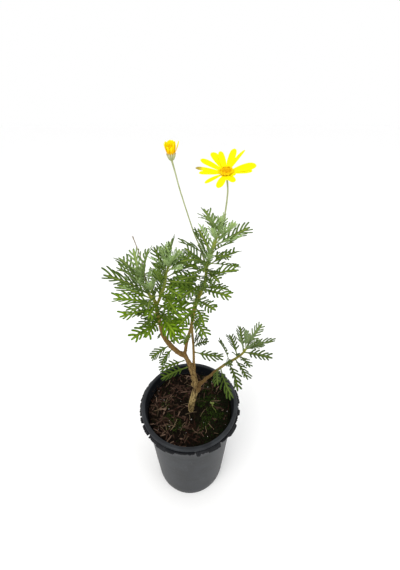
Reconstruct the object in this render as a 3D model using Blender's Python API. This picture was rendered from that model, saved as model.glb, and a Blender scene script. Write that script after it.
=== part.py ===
"""Potted gray-leaved euryops: a black nursery pot of soil and a small forked shrub with leafy shoots,
one open yellow daisy head, one half-open head and the dry stalk of an old one.

Metres, +Z up. The origin is the centre of the pot's base, and the front faces -Y.
"""

import math
import random

import bpy
from mathutils import Matrix, Vector
from mathutils.bvhtree import BVHTree

MM = 0.001
GAP = 0.3 * MM

# Pot, from the middle of its base out, up, over the lip and down inside: radius and height in mm
POT_PROFILE = (
    (0, 0),
    (43.5, 0),
    (45, 1.5),
    (56.4, 107),
    (59.4, 108),
    (60.4, 115),
    (64.6, 114.6),
    (64.6, 115.6),
    (61.8, 118.6),
    (60.6, 120),
    (58, 120),
    (56.8, 118.8),
    (55, 109),
    (43.4, 2.2),
    (0, 2.2),
)
POT_SIDES = 48
# The two rows of that profile that draw the torn skirt, how deep its tears are and how much it waves
SKIRT_ROWS = (5, 6)
SKIRT_TEAR = 1.7 * MM
SHALLOW_TEAR_SHARE = 0.35
SKIRT_WAVE = 0.8 * MM
SKIRT_SEED = 5
DRAIN_HOLES = 6
DRAIN_RADIUS = 5 * MM
DRAIN_CIRCLE = 34 * MM
DRAIN_SIDES = 10
DRAIN_CUT_FROM = -2 * MM
DRAIN_CUT_TO = 4.2 * MM

# Soil, which fills the pot to a small gap from its wall: radius and height in mm
SOIL_PROFILE = (
    (0, 2.5),
    (42.7, 2.5),
    (54.4, 106.5),
    (50, 108),
    (40, 108),
    (28, 108),
    (16, 108),
    (0, 108),
)
SOIL_SIDES = 40
FIRST_LUMPY_ROW = 2
SOIL_LUMP = 1.1 * MM
SOIL_SEED = 6
# The trunk stands in the soil up to this sample of its own smooth path
TRUNK_SAMPLES_IN_SOIL = 5

# Leaf
BLADE_THICKNESS = 0.7 * MM
RIB_HALF_WIDTH = 0.75 * MM
PETIOLE_SHARE = 0.27
LOBE_ANGLE = math.radians(46)
LOBE_ANGLE_LOSS = 0.25
LOBED_TO = 0.93
LOBE_TIP_WIDTH = 1.5 * MM
CLEARANCE = 0.5 * MM
LEAF_FOLD = 0.25
RAY_FOLD = 0.12

# Stems: x, y, z and radius in millimetres, from the root end up
MAIN_STEM = (
    (1.5, -5, 96, 4.5),
    (2, -5, 108, 4.3),
    (5, -6.5, 130, 3.9),
    (9, -8, 151, 3.9),
    (8.5, -7, 161, 3.5),
    (2, -2.5, 183, 3.0),
    (-6, 0, 201, 2.8),
)
LEFT_STEM = (
    (-4, -0.5, 197, 2.0),
    (-16, 1, 211, 2.2),
    (-26, 0, 228, 2.0),
    (-30.5, -3.5, 246, 1.9),
    (-33, -6, 266, 1.8),
    (-34, -7, 279, 1.7),
    (-40, -8, 290, 1.4),
    (-45, -8, 301, 1.0),
)
MIDDLE_STEM = (
    (-33.5, -6, 272, 1.3),
    (-29, -3, 283, 1.4),
    (-24, 0, 296, 1.3),
    (-22, 2, 308, 1.2),
    (-19, 3, 318, 1.0),
)
RIGHT_STEM = (
    (-5, 0, 198, 2.0),
    (-1.5, 2.5, 219, 1.9),
    (3, 3, 236, 1.8),
    (8.5, 4, 265, 1.8),
    (18.5, 4, 296, 1.7),
    (20.5, 4, 314, 1.6),
    (26.5, 4, 337, 1.4),
    (32, 4, 354, 1.2),
    (37, 4, 371, 0.9),
    (39.2, 3.5, 392, 0.85),
    (38.9, 4, 402, 0.9),
    (37.8, 3.1, 409, 1.0),
)
BACK_STEM = (
    (6, -4.5, 168, 1.5),
    (6, 1, 182, 1.4),
    (5.3, 8, 206, 1.3),
    (4, 12, 224, 1.3),
    (4, 15, 245, 1.2),
    (9, 17, 268, 0.9),
)
LOW_STEM = (
    (8, -7.5, 151, 2.1),
    (19, -12, 172, 2.0),
    (33, -18, 195, 1.9),
    (42, -21.5, 208, 1.7),
    (52, -24, 218, 1.5),
    (59.5, -26, 228, 1.3),
    (64, -27, 238, 1.0),
)
BUD_STALK = (
    (20, 4, 310, 1.2),
    (18, 5, 322, 1.1),
    (13, 6.5, 338, 0.9),
    (6.4, 8, 355, 0.85),
    (-4.8, 6.5, 394, 0.8),
    (-8.9, 6, 411, 0.8),
    (-12, 5, 424, 1.0),
)
DRY_STALK = (
    (-40.5, -8, 289, 1.0),
    (-43, -4, 304, 0.9),
    (-46, 0, 325, 0.8),
    (-53.6, 5, 348, 0.7),
)
# The point of each stem where its bark ends and the green shoot starts
LEFT_WOOD_END = 3
RIGHT_WOOD_END = 1
BACK_WOOD_END = 1
LOW_WOOD_END = 2
# The point where the flower stalk leaves the right shoot, and where each other stalk leaves its stub
RIGHT_SHOOT_END = 7
STUB_END = 1
SMOOTH_STEPS = 2
TRUNK_SIDES = 10
BRANCH_SIDES = 8
STEM_SIDES = 6
STALK_SIDES = 5


# Leaves from the root end of their stem up: share of the stem, bearing and rise in degrees, length in mm
LEFT_LEAVES = (
    (0.03, 237, 8, 45),
    (0.09, 303, 2, 43),
    (0.20, 262, 4, 38),
    (0.28, 318, -4, 44),
    (0.33, 298, 2, 44),
    (0.37, 222, 20, 46),
    (0.45, 350, 2, 42),
    (0.50, 209, 28, 47),
    (0.55, 310, 6, 46),
    (0.58, 243, 16, 42),
    (0.64, 163, 8, 47),
    (0.68, 268, 20, 40),
    (0.72, 340, 8, 42),
    (0.80, 206, 40, 52),
    (0.86, 222, 52, 48),
    (0.90, 142, 30, 48),
    (0.95, 127, 41, 45),
    (0.98, 320, 78, 47),
)
MIDDLE_LEAVES = (
    (0.10, 262, 12, 38),
    (0.35, 300, 8, 38),
    (0.45, 335, 22, 38),
    (0.50, 300, 14, 36),
    (0.57, 140, -5, 37),
    (0.62, 352, 5, 36),
    (0.70, 20, 10, 36),
    (0.72, 165, 66, 35),
    (0.77, 105, 24, 38),
    (0.82, 14, 34, 35),
    (0.88, 55, 24, 36),
    (0.96, 320, 78, 36),
)
RIGHT_LEAVES = (
    (0.06, 262, 23, 36),
    (0.16, 160, -18, 39),
    (0.22, 289, 6, 39),
    (0.30, 245, 12, 40),
    (0.36, 176, -6, 40),
    (0.40, 297, 16, 38),
    (0.45, 220, 20, 40),
    (0.48, 160, 2, 40),
    (0.50, 318, 15, 41),
    (0.53, 350, -2, 28),
    (0.56, 235, 4, 41),
    (0.58, 155, -5, 41),
    (0.61, 328, 28, 42),
    (0.63, 226, 16, 41),
    (0.66, 288, 17, 41),
    (0.67, 176, 10, 40),
    (0.70, 136, 12, 41),
    (0.72, 35, 5, 45),
    (0.75, 229, 24, 42),
    (0.76, 226, 62, 42),
    (0.78, 212, 42, 42),
    (0.83, 114, 13, 43),
    (0.83, 304, 34, 40),
    (0.88, 23, 16, 47),
    (0.96, 114, 26, 43),
    (0.98, 283, 48, 43),
    (0.33, 285, 5, 36),
    (0.94, 26, 64, 24),
)
BACK_LEAVES = (
    (0.18, 328, 3, 38),
    (0.25, 313, 43, 30),
    (0.50, 70, -10, 34),
    (0.96, 63, 20, 29),
)
LOW_LEAVES = (
    (0.02, 263, 18, 34),
    (0.12, 276, -8, 41),
    (0.36, 288, -2, 39),
    (0.40, 102, -6, 37),
    (0.54, 285, 12, 37),
    (0.62, 95, -5, 37),
    (0.68, 287, 23, 30),
    (0.80, 312, 22, 36),
    (0.82, 91, 4, 36),
    (0.92, 331, 38, 37),
    (0.96, 53, 12, 36),
    (0.99, 258, 62, 34),
)
# Single leaves on the bark: name, the stem's own points, share of them, bearing, rise and length
BARK_LEAVES = (
    ("bark_leaf_upper", LEFT_STEM[:4], 0.38, 192, -40, 32),
    ("bark_leaf_middle", MAIN_STEM, 0.91, 209, 10, 33),
    ("bark_leaf_low", MAIN_STEM, 0.82, 213, -2, 35),
)
# Each leafy stem: its node, its points, the knot where its wood ends, its leaves, how far their lobes
# reach for their length, and their bend in degrees at the low end and at the tip
LEAFY_STEMS = (
    ("left_shoot", LEFT_STEM, LEFT_WOOD_END, LEFT_LEAVES, 0.21, (20, 25)),
    ("right_shoot", RIGHT_STEM[: RIGHT_SHOOT_END + 1], RIGHT_WOOD_END, RIGHT_LEAVES, 0.2, (25, 20)),
    ("left_shoot", MIDDLE_STEM, 0, MIDDLE_LEAVES, 0.21, (20, 15)),
    ("low_right_shoot", LOW_STEM, LOW_WOOD_END, LOW_LEAVES, 0.17, (20, 15)),
    ("back_shoot", BACK_STEM, BACK_WOOD_END, BACK_LEAVES, 0.18, (30, 20)),
)
LEAF_SEED = 11
BARK_LEAF_SEED = 21
BARK_LOBE_REACH = 0.19
BARK_LEAF_BEND = math.radians(25)
FEW_PAIRS = 5
MANY_PAIRS = 6
MANY_PAIRS_FROM = 46 * MM
# Leaves twist so that their upper faces lean towards the front
LEAF_TWIST = math.radians(24)
BEARING_JITTER = math.radians(3)
RISE_JITTER = math.radians(3)
ROLL_JITTER = math.radians(12)
# A leaf that meets another is turned by these until it is clear; its root may lie in its own stem
TURNS_TRIED = tuple(math.radians(turn) for turn in (0, 8, -8, 16, -16, 26, -26, 38, -38))
RISES_TRIED = tuple(math.radians(lift) for lift in (0, 8, -8, 16, -16))
ROOT_SHARE = 0.22

# Open head: its own frame stands on the end of the flower stalk and tips towards the front
HEAD_TILT = math.radians(26)
HEAD_LEAN = math.radians(-8)
RAY_THICKNESS = 0.6 * MM
RAY_ROOT_RADIUS = 2.6 * MM
RAY_ROOT_HEIGHT = 4.95 * MM
# How wide a ray petal is, of its full width, at each share of its length
RAY_STATIONS = ((0, 0.34), (0.18, 0.42), (0.45, 0.96), (0.72, 1.0), (0.92, 0.74), (1.0, 0.3))
# Bearing, reach from the root and width in mm, and rise, of each ray
OPEN_RAYS = (
    (12, 25.5, 6.2, 9),
    (52, 27, 3.2, 15),
    (72, 27, 6.0, 17),
    (97, 25, 5.0, 21),
    (112, 27.5, 6.2, 14),
    (138, 27, 5.0, 14),
    (157, 25.5, 3.6, 12),
    (172, 21.5, 5.2, 7),
    (209, 18.5, 3.0, 6),
    (247, 18, 6.0, 4),
    (293, 12.5, 5.6, 2),
)
RAY_BEND = 0.2
# The head's solids about its own axis, radius and height in mm: the green cup, the plate that joins the
# rays, and the disc
OPEN_CUP = ((0, -1.5), (0.9, -1.5), (2.2, 0.2), (3.9, 1.9), (4.9, 4.2), (0, 4.2))
OPEN_PLATE = ((0, 4.5), (3.4, 4.5), (4.4, 4.9), (3.4, 5.4), (0, 5.4))
OPEN_DISC = (
    (0, 5.7),
    (2.4, 5.7),
    (2.7, 6.7),
    (5.6, 7.1),
    (5.8, 7.8),
    (4.2, 8.5),
    (2.2, 8.9),
    (0, 9.0),
)
DISC_SIDES = 12
DISC_FLORETS = 22
FLORETS_TO = 5.2 * MM
FLORET_TURN = math.radians(137.5)
FLORET_SPLAY = 0.6
FLORET_FOOT_HEIGHT = 8.3 * MM
DISC_CROWN_FALL = 1.3 * MM
FLORET_FOOT_RADIUS = 0.8 * MM
FLORET_TIP_RADIUS = 0.5 * MM
FLORET_LENGTH = 1.5 * MM
FLORET_SIDES = 4

# Half-open head: the rays stand round the disc and leave its front open
BUD_LEAN = math.radians(-4)
BUD_RAY_ROOT_RADIUS = 2.8 * MM
BUD_RAY_ROOT_HEIGHT = 4.6 * MM
BUD_RAY_BEND = -0.3
BUD_RAYS = (
    (355, 12, 3.5, 58),
    (31, 11, 3.9, 75),
    (69, 12.3, 4.0, 80),
    (107, 12.0, 4.1, 78),
    (146, 11.5, 3.8, 75),
    (187, 10.5, 3.6, 65),
    (229, 7, 3.3, 71),
    (306, 6.5, 3.1, 73),
)
BUD_CUP = (
    (0, -1.2),
    (0.9, -1.2),
    (2.4, 0.6),
    (3.7, 2.4),
    (4.4, 5.4),
    (3.9, 5.2),
    (3.6, 4.0),
    (0, 4.0),
)
BUD_PLATE = ((0, 4.3), (2.6, 4.3), (2.9, 4.6), (2.6, 4.9), (0, 4.9))
BUD_DISC = ((0, 5.2), (1.4, 5.2), (1.6, 7.0), (1.7, 9.0), (1.2, 10.4), (0, 10.8))
BUD_DISC_SIDES = 10
CUP_SIDES = 14

PLASTIC = ("black_plastic", (0.022, 0.024, 0.028), 0.42)
EARTH = ("potting_soil", (0.045, 0.026, 0.016), 0.95)
BARK = ("bark", (0.33, 0.19, 0.09), 0.8)
FOLIAGE = ("felted_foliage", (0.15, 0.27, 0.09), 0.7)
STALK_GREEN = ("stalk_green", (0.40, 0.46, 0.22), 0.65)
RAY_YELLOW = ("ray_yellow", (0.95, 0.85, 0.01), 0.5)
DISC_ORANGE = ("disc_orange", (0.90, 0.48, 0.01), 0.7)
DRY_BROWN = ("dry_brown", (0.33, 0.26, 0.21), 0.85)


# Scene and mesh helpers


def clear_scene():
    for obj in list(bpy.data.objects):
        bpy.data.objects.remove(obj, do_unlink=True)


def material_of(finish):
    name, colour, roughness = finish
    material = bpy.data.materials.get(name) or bpy.data.materials.new(name)
    material.use_nodes = True
    shader = material.node_tree.nodes["Principled BSDF"]
    shader.inputs["Base Color"].default_value = (*colour, 1.0)
    shader.inputs["Roughness"].default_value = roughness
    return material


def mesh_object(name, points, faces, finish, collection=None):
    mesh = bpy.data.meshes.new(name)
    mesh.from_pydata([tuple(point) for point in points], [], faces)
    mesh.materials.append(material_of(finish))
    obj = bpy.data.objects.new(name, mesh)
    (collection or bpy.context.scene.collection).objects.link(obj)
    return obj


def shade_round(obj):
    obj.data.shade_smooth()
    obj.data.set_sharp_from_angle(angle=math.radians(40))


def join(target, shapes, operation="UNION", solver="EXACT"):
    """Fuses the loose shapes to the target, or cuts them from it, with one Boolean on a collection."""
    group = bpy.data.collections.new("operands")
    bpy.context.scene.collection.children.link(group)
    for number, (points, faces) in enumerate(shapes):
        mesh_object(f"operand_{number}", points, faces, FOLIAGE, group)
    boolean = target.modifiers.new("join", "BOOLEAN")
    boolean.operand_type = "COLLECTION"
    boolean.collection = group
    boolean.operation = operation
    boolean.solver = solver
    bpy.context.view_layer.objects.active = target
    bpy.ops.object.modifier_apply(modifier=boolean.name)
    for obj in list(group.objects):
        bpy.data.objects.remove(obj, do_unlink=True)
    bpy.data.collections.remove(group)
    return target


def turned(profile, sides, radius_at=None, height_at=None):
    """A profile of (radius, height) points in mm spun about Z; its first and last lie on the axis."""
    points = [Vector((0, 0, profile[0][1] * MM))]
    rows = profile[1:-1]
    for row, (radius, height) in enumerate(rows):
        for side in range(sides):
            turn = math.tau * side / sides
            reach = radius_at(row, side, radius * MM) if radius_at else radius * MM
            level = height_at(row, side, height * MM) if height_at else height * MM
            points.append(Vector((reach * math.cos(turn), reach * math.sin(turn), level)))
    points.append(Vector((0, 0, profile[-1][1] * MM)))
    faces = []
    for side in range(sides):
        here = 1 + side
        beside = 1 + (side + 1) % sides
        faces.append((0, beside, here))
        for row in range(len(rows) - 1):
            low = row * sides
            high = low + sides
            faces.append((here + low, beside + low, beside + high, here + high))
        last = (len(rows) - 1) * sides
        faces.append((here + last, beside + last, len(points) - 1))
    return points, faces


# Stems


def smooth_path(stem):
    """Points, radii and directions along a curve through a stem's own points."""
    knots = [(Vector(point[:3]) * MM, point[3] * MM) for point in stem]
    padded = [knots[0], *knots, knots[-1]]
    samples = []
    for index in range(1, len(padded) - 2):
        before, start, end, after = padded[index - 1 : index + 3]
        for step in range(SMOOTH_STEPS):
            share = step / SMOOTH_STEPS
            place = 0.5 * (
                2 * start[0]
                + (end[0] - before[0]) * share
                + (2 * before[0] - 5 * start[0] + 4 * end[0] - after[0]) * share**2
                + (3 * start[0] - before[0] - 3 * end[0] + after[0]) * share**3
            )
            samples.append((place, start[1] + (end[1] - start[1]) * share))
    samples.append(knots[-1])
    path = []
    for index, (place, radius) in enumerate(samples):
        ahead = samples[min(index + 1, len(samples) - 1)][0]
        behind = samples[max(index - 1, 0)][0]
        path.append((place, radius, (ahead - behind).normalized()))
    return path


def cut_path(path, knot):
    """The path up to one of the stem's own points, and the rest, which starts a small gap further on."""
    index = knot * SMOOTH_STEPS
    place, radius, direction = path[index]
    return path[: index + 1], [(place + direction * GAP, radius, direction), *path[index + 1 :]]


def tube(path, sides):
    points = []
    across = path[0][2].orthogonal().normalized()
    for place, radius, direction in path:
        across = (across - direction * across.dot(direction)).normalized()
        beside = direction.cross(across)
        for side in range(sides):
            turn = math.tau * side / sides
            points.append(place + radius * (math.cos(turn) * across + math.sin(turn) * beside))
    faces = [tuple(reversed(range(sides)))]
    for ring in range(len(path) - 1):
        for side in range(sides):
            here = ring * sides + side
            beside = ring * sides + (side + 1) % sides
            faces.append((here, beside, beside + sides, here + sides))
    faces.append(tuple(range(len(points) - sides, len(points))))
    return points, faces


# Leaves


def leaf_outline(length, pairs, lobe_reach):
    """The rib's stations and each pair's lobe tips, as (along, across) on the leaf's left side."""
    start = PETIOLE_SHARE * length
    pitch = (LOBED_TO * length - start) / pairs
    rib = [(0.0, RIB_HALF_WIDTH)]
    rib += [(start + pitch * pair, RIB_HALF_WIDTH) for pair in range(pairs + 1)]
    lobes = []
    for pair in range(pairs):
        share = pair / (pairs - 1)
        angle = LOBE_ANGLE - LOBE_ANGLE_LOSS * share
        fullness = 0.62 + 0.38 * math.sin(math.pi * (0.1 + 0.8 * share))
        reach = length * lobe_reach * fullness
        tip_along = start + pitch * (pair + 0.45) + reach * math.cos(angle)
        tip_across = RIB_HALF_WIDTH + reach * math.sin(angle)
        half = LOBE_TIP_WIDTH / 2
        outer = (tip_along - half * math.sin(angle), tip_across + half * math.cos(angle))
        inner = (tip_along + half * math.sin(angle), tip_across - half * math.cos(angle))
        lobes.append((outer, inner))
    return rib, lobes


def bent_blade(flat, upper, rim, length, bend, fold, thickness):
    """Gives a flat outline its thickness, lifts its edges by the fold and arches it along its length."""
    points = []
    for face_side in (0.5, -0.5):
        for along, across in flat:
            lift = fold * abs(across) + face_side * thickness
            turn = bend * along / length
            centre_x = length * math.sin(turn) / bend
            centre_z = -length * (1 - math.cos(turn)) / bend
            points.append(
                Vector((centre_x + lift * math.sin(turn), across, centre_z + lift * math.cos(turn)))
            )
    count = len(flat)
    faces = list(upper)
    faces += [(c + count, b + count, a + count) for a, b, c in upper]
    for here, ahead in zip(rim, rim[1:] + rim[:1], strict=True):
        faces += [(here, here + count, ahead + count), (here, ahead + count, ahead)]
    return points, faces


def leaf_shape(length, pairs, lobe_reach, bend, thickness):
    """One pinnately lobed leaf along +X, its upper face towards +Z, as a thin arched solid."""
    rib, lobes = leaf_outline(length, pairs, lobe_reach)
    first_lobe = len(rib) - 1 - pairs
    flat = []
    upper = []
    borders = []
    for side in (1, -1):
        first = len(flat)
        flat += [(along, side * across) for along, across in rib]
        tips = len(flat)
        flat += [(along, side * across) for pair in lobes for along, across in pair]
        end = len(flat)
        flat.append((length, side * LOBE_TIP_WIDTH * 0.45))
        border = [first]
        for pair in range(len(lobes)):
            low = first + first_lobe + pair
            outer = tips + 2 * pair
            inner = outer + 1
            halves = [(low, low + 1, inner), (low, inner, outer)]
            upper += halves if side == 1 else [tuple(reversed(half)) for half in halves]
            border += [low, outer, inner]
        borders.append([*border, first + len(rib) - 1, end])
    half_count = len(flat) // 2
    middle = [*range(len(rib)), half_count - 1]
    for low, high in zip(middle, middle[1:]):
        upper += [
            (low + half_count, high + half_count, high),
            (low + half_count, high, low),
        ]
    return bent_blade(flat, upper, borders[1] + borders[0][::-1], length, bend, LEAF_FOLD, thickness)


def ray_shape(length, width, bend):
    """One strap-shaped ray petal along +X, narrow at its root and rounded at its tip."""
    flat = []
    for side in (1, -1):
        flat += [(share * length, side * width * part / 2) for share, part in RAY_STATIONS]
    count = len(RAY_STATIONS)
    upper = []
    for low in range(count - 1):
        high = low + 1
        upper += [(low + count, high + count, high), (low + count, high, low)]
    rim = [*range(count, 2 * count), *reversed(range(count))]
    return bent_blade(flat, upper, rim, length, bend, RAY_FOLD, RAY_THICKNESS)


def leaf_matrix(root, bearing, rise, roll):
    """Stands a leaf on its root point, pointing out along the bearing and up by the rise."""
    out = Vector((math.cos(bearing), math.sin(bearing), 0))
    along = out * math.cos(rise) + Vector((0, 0, math.sin(rise)))
    normal = Vector((0, 0, math.cos(rise))) - out * math.sin(rise)
    across = normal.cross(along)
    turned_frame = Matrix((along, across, normal)).transposed().to_4x4()
    return Matrix.Translation(root) @ turned_frame @ Matrix.Rotation(roll, 4, "X")


class Thicket:
    """The solids placed so far, so that a new leaf can be turned until it is clear of them."""

    def __init__(self):
        self.trees = []

    def add(self, owner, points, faces):
        self.trees.append((owner, BVHTree.FromPolygons(points, faces)))

    def meets(self, owner, points, faces, outer_faces):
        whole = BVHTree.FromPolygons(points, faces)
        outer = BVHTree.FromPolygons(points, outer_faces)
        return any((outer if other == owner else whole).overlap(tree) for other, tree in self.trees)


def place_leaf(thicket, owner, root, aim, size):
    """The first clear pose near the one asked for, or nothing where there is no room."""
    bearing, rise, roll = aim
    length, pairs, lobe_reach, bend = size
    points, faces = leaf_shape(length, pairs, lobe_reach, bend, BLADE_THICKNESS)
    fat, fat_faces = leaf_shape(length, pairs, lobe_reach, bend, BLADE_THICKNESS + 2 * CLEARANCE)
    outer_faces = [
        face for face in fat_faces if min(fat[corner].x for corner in face) > ROOT_SHARE * length
    ]
    for lift in RISES_TRIED:
        for turn in TURNS_TRIED:
            matrix = leaf_matrix(root, bearing + turn, rise + lift + bend / 2, roll)
            fat_points = [matrix @ point for point in fat]
            if not thicket.meets(owner, fat_points, fat_faces, outer_faces):
                thicket.add(owner, fat_points, fat_faces)
                return [([matrix @ point for point in points], faces)]
    return []


def point_along(path, share):
    """The point at this share of the path's length."""
    steps = [(b[0] - a[0]).length for a, b in zip(path, path[1:])]
    left = share * sum(steps)
    for step, (start, end) in zip(steps, zip(path, path[1:])):
        if left <= step:
            return start[0].lerp(end[0], left / step)
        left -= step
    return path[-1][0].copy()


def leaves_on(thicket, leafy_stem, seed):
    """The leaves of one stem."""
    owner, stem, wood_end, rows, lobe_reach, bends = leafy_stem
    path = smooth_path(stem)[wood_end * SMOOTH_STEPS :]
    draw = random.Random(seed)
    placed = []
    for share, bearing, rise, length in rows:
        turn = math.radians(bearing)
        aim = (
            turn + draw.uniform(-BEARING_JITTER, BEARING_JITTER),
            math.radians(rise) + draw.uniform(-RISE_JITTER, RISE_JITTER),
            LEAF_TWIST * math.cos(turn) + draw.uniform(-ROLL_JITTER, ROLL_JITTER),
        )
        pairs = MANY_PAIRS if length * MM > MANY_PAIRS_FROM else FEW_PAIRS
        bend = math.radians(bends[0] + (bends[1] - bends[0]) * share) * draw.uniform(0.6, 1.4)
        size = (length * MM, pairs, lobe_reach, bend)
        placed += place_leaf(thicket, owner, point_along(path, share), aim, size)
    return placed


def bark_leaves(thicket):
    """The single leaves on the bark, each a solid of its own that starts a small gap off its stem."""
    draw = random.Random(BARK_LEAF_SEED)
    found = {}
    for name, stem, share, bearing, rise, length in BARK_LEAVES:
        path = smooth_path(stem)
        turn = math.radians(bearing)
        root = point_along(path, share)
        radius = min(path, key=lambda sample: (sample[0] - root).length)[1]
        root += Vector((math.cos(turn), math.sin(turn), 0)) * (radius + 2 * GAP)
        roll = LEAF_TWIST * math.cos(turn) + draw.uniform(-ROLL_JITTER, ROLL_JITTER)
        aim = (turn, math.radians(rise), roll)
        size = (length * MM, FEW_PAIRS, BARK_LOBE_REACH, BARK_LEAF_BEND)
        for leaf in place_leaf(thicket, name, root, aim, size):
            found[name] = leaf
    return found


# Pot and soil


def build_pot():
    draw = random.Random(SKIRT_SEED)
    tears = []
    for side in range(POT_SIDES):
        depth = draw.uniform(0, SKIRT_TEAR)
        tears.append(depth if side % 2 else depth * SHALLOW_TEAR_SHARE)
    waves = [draw.uniform(-SKIRT_WAVE, SKIRT_WAVE) for side in range(POT_SIDES)]

    def torn_radius(row, side, radius):
        return radius - tears[side] if row in SKIRT_ROWS else radius

    def waved_height(row, side, height):
        return height + waves[side] if row in SKIRT_ROWS else height

    pot = mesh_object("pot", *turned(POT_PROFILE, POT_SIDES, torn_radius, waved_height), PLASTIC)
    up = Vector((0, 0, 1))
    holes = []
    for number in range(DRAIN_HOLES):
        turn = math.tau * (number + 0.5) / DRAIN_HOLES
        centre = Vector((math.cos(turn), math.sin(turn), 0)) * DRAIN_CIRCLE
        bottom = (centre + up * DRAIN_CUT_FROM, DRAIN_RADIUS, up)
        top = (centre + up * DRAIN_CUT_TO, DRAIN_RADIUS, up)
        holes.append(tube([bottom, top], DRAIN_SIDES))
    join(pot, holes, "DIFFERENCE")
    shade_round(pot)


def build_soil():
    draw = random.Random(SOIL_SEED)
    lumps = {}

    def lumpy_height(row, side, height):
        if row < FIRST_LUMPY_ROW:
            return height
        return height + lumps.setdefault((row, side), draw.uniform(-SOIL_LUMP, SOIL_LUMP))

    soil = mesh_object("soil", *turned(SOIL_PROFILE, SOIL_SIDES, None, lumpy_height), EARTH)
    trunk = smooth_path(MAIN_STEM)[:TRUNK_SAMPLES_IN_SOIL]
    hole = [(place, radius + GAP, direction) for place, radius, direction in trunk]
    first_place, first_radius, first_direction = hole[0]
    hole[0] = (first_place - first_direction * GAP, first_radius, first_direction)
    join(soil, [tube(hole, TRUNK_SIDES)], "DIFFERENCE")


# Woody stem and shoots


def wood_tubes():
    """The trunk, and the barked foot of each branch."""
    branches = (
        (LEFT_STEM, LEFT_WOOD_END),
        (RIGHT_STEM, RIGHT_WOOD_END),
        (BACK_STEM, BACK_WOOD_END),
        (LOW_STEM, LOW_WOOD_END),
    )
    tubes = [tube(smooth_path(MAIN_STEM), TRUNK_SIDES)]
    for stem, wood_end in branches:
        tubes.append(tube(cut_path(smooth_path(stem), wood_end)[0], BRANCH_SIDES))
    return tubes


def build_wood():
    trunk, *branches = wood_tubes()
    wood = mesh_object("woody_stem", *trunk, BARK)
    join(wood, branches)
    shade_round(wood)


def stem_parts():
    """Each green stem's own stretch and the stubs that carry the stalks, by node, then the stalks."""
    left = cut_path(smooth_path(LEFT_STEM), LEFT_WOOD_END)[1]
    middle = smooth_path(MIDDLE_STEM)
    right, flower_stalk = cut_path(smooth_path(RIGHT_STEM), RIGHT_SHOOT_END)
    right = cut_path(right, RIGHT_WOOD_END)[1]
    back = cut_path(smooth_path(BACK_STEM), BACK_WOOD_END)[1]
    low = cut_path(smooth_path(LOW_STEM), LOW_WOOD_END)[1]
    bud_stub, bud_stalk = cut_path(smooth_path(BUD_STALK), STUB_END)
    dry_stub, dry_stalk = cut_path(smooth_path(DRY_STALK), STUB_END)
    shoots = {
        "left_shoot": (left, middle, dry_stub),
        "right_shoot": (right, bud_stub),
        "back_shoot": (back,),
        "low_right_shoot": (low,),
    }
    stalks = {"flower_stalk": flower_stalk, "bud_stalk": bud_stalk, "dry_stalk": dry_stalk}
    return shoots, stalks


def thicket_of(shoots, stalks):
    """Every stem and stalk, as what the leaves must clear."""
    thicket = Thicket()
    for wood in wood_tubes():
        thicket.add("woody_stem", *wood)
    for name, paths in shoots.items():
        for path in paths:
            thicket.add(name, *tube([(p, r + CLEARANCE, d) for p, r, d in path], STEM_SIDES))
    for name, path in stalks.items():
        thicket.add(name, *tube([(p, r + CLEARANCE, d) for p, r, d in path], STALK_SIDES))
    return thicket


def build_shoots(shoots, thicket):
    leaves = {name: [] for name in shoots}
    for seed, leafy_stem in enumerate(LEAFY_STEMS, LEAF_SEED):
        leaves[leafy_stem[0]] += leaves_on(thicket, leafy_stem, seed)
    for name, leaf in bark_leaves(thicket).items():
        mesh_object(name, *leaf, FOLIAGE)
    for name, paths in shoots.items():
        shoot = mesh_object(name, *tube(paths[0], STEM_SIDES), FOLIAGE)
        join(shoot, [tube(path, STEM_SIDES) for path in paths[1:]] + leaves[name])


# Heads


def head_matrix(place, tilt, lean):
    """A head's frame: its axis starts along +Z, tips to the front by the tilt and sideways by the lean."""
    turned_over = Matrix.Rotation(lean, 4, "Y") @ Matrix.Rotation(tilt, 4, "X")
    return Matrix.Translation(place) @ turned_over


def moved(matrix, shape):
    points, faces = shape
    return [matrix @ point for point in points], faces


def rays_of(rays, root_radius, root_height, bend):
    """The ray petals round one head, in the head's frame."""
    shapes = []
    for bearing, reach, width, rise in rays:
        turn = math.radians(bearing)
        root = Vector((math.cos(turn), math.sin(turn), 0)) * root_radius
        root.z = root_height
        matrix = leaf_matrix(root, turn, math.radians(rise), 0)
        shapes.append(moved(matrix, ray_shape(reach * MM, width * MM, bend)))
    return shapes


def disc_florets():
    """Small blunt florets in a spiral over the open disc's crown."""
    shapes = []
    for number in range(DISC_FLORETS):
        share = math.sqrt((number + 0.5) / DISC_FLORETS)
        turn = FLORET_TURN * number
        out = Vector((math.cos(turn), math.sin(turn), 0))
        axis = (out * share * FLORET_SPLAY + Vector((0, 0, 1))).normalized()
        foot = out * FLORETS_TO * share
        foot.z = FLORET_FOOT_HEIGHT - DISC_CROWN_FALL * share**2
        root = (foot, FLORET_FOOT_RADIUS, axis)
        tip = (foot + axis * FLORET_LENGTH, FLORET_TIP_RADIUS, axis)
        shapes.append(tube([root, tip], FLORET_SIDES))
    return shapes


def build_open_head(matrix):
    rays = mesh_object("flower_rays", *moved(matrix, turned(OPEN_PLATE, DISC_SIDES)), RAY_YELLOW)
    petals = rays_of(OPEN_RAYS, RAY_ROOT_RADIUS, RAY_ROOT_HEIGHT, RAY_BEND)
    join(rays, [moved(matrix, petal) for petal in petals])
    disc = mesh_object("flower_disc", *moved(matrix, turned(OPEN_DISC, DISC_SIDES)), DISC_ORANGE)
    join(disc, [moved(matrix, floret) for floret in disc_florets()])


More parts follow.
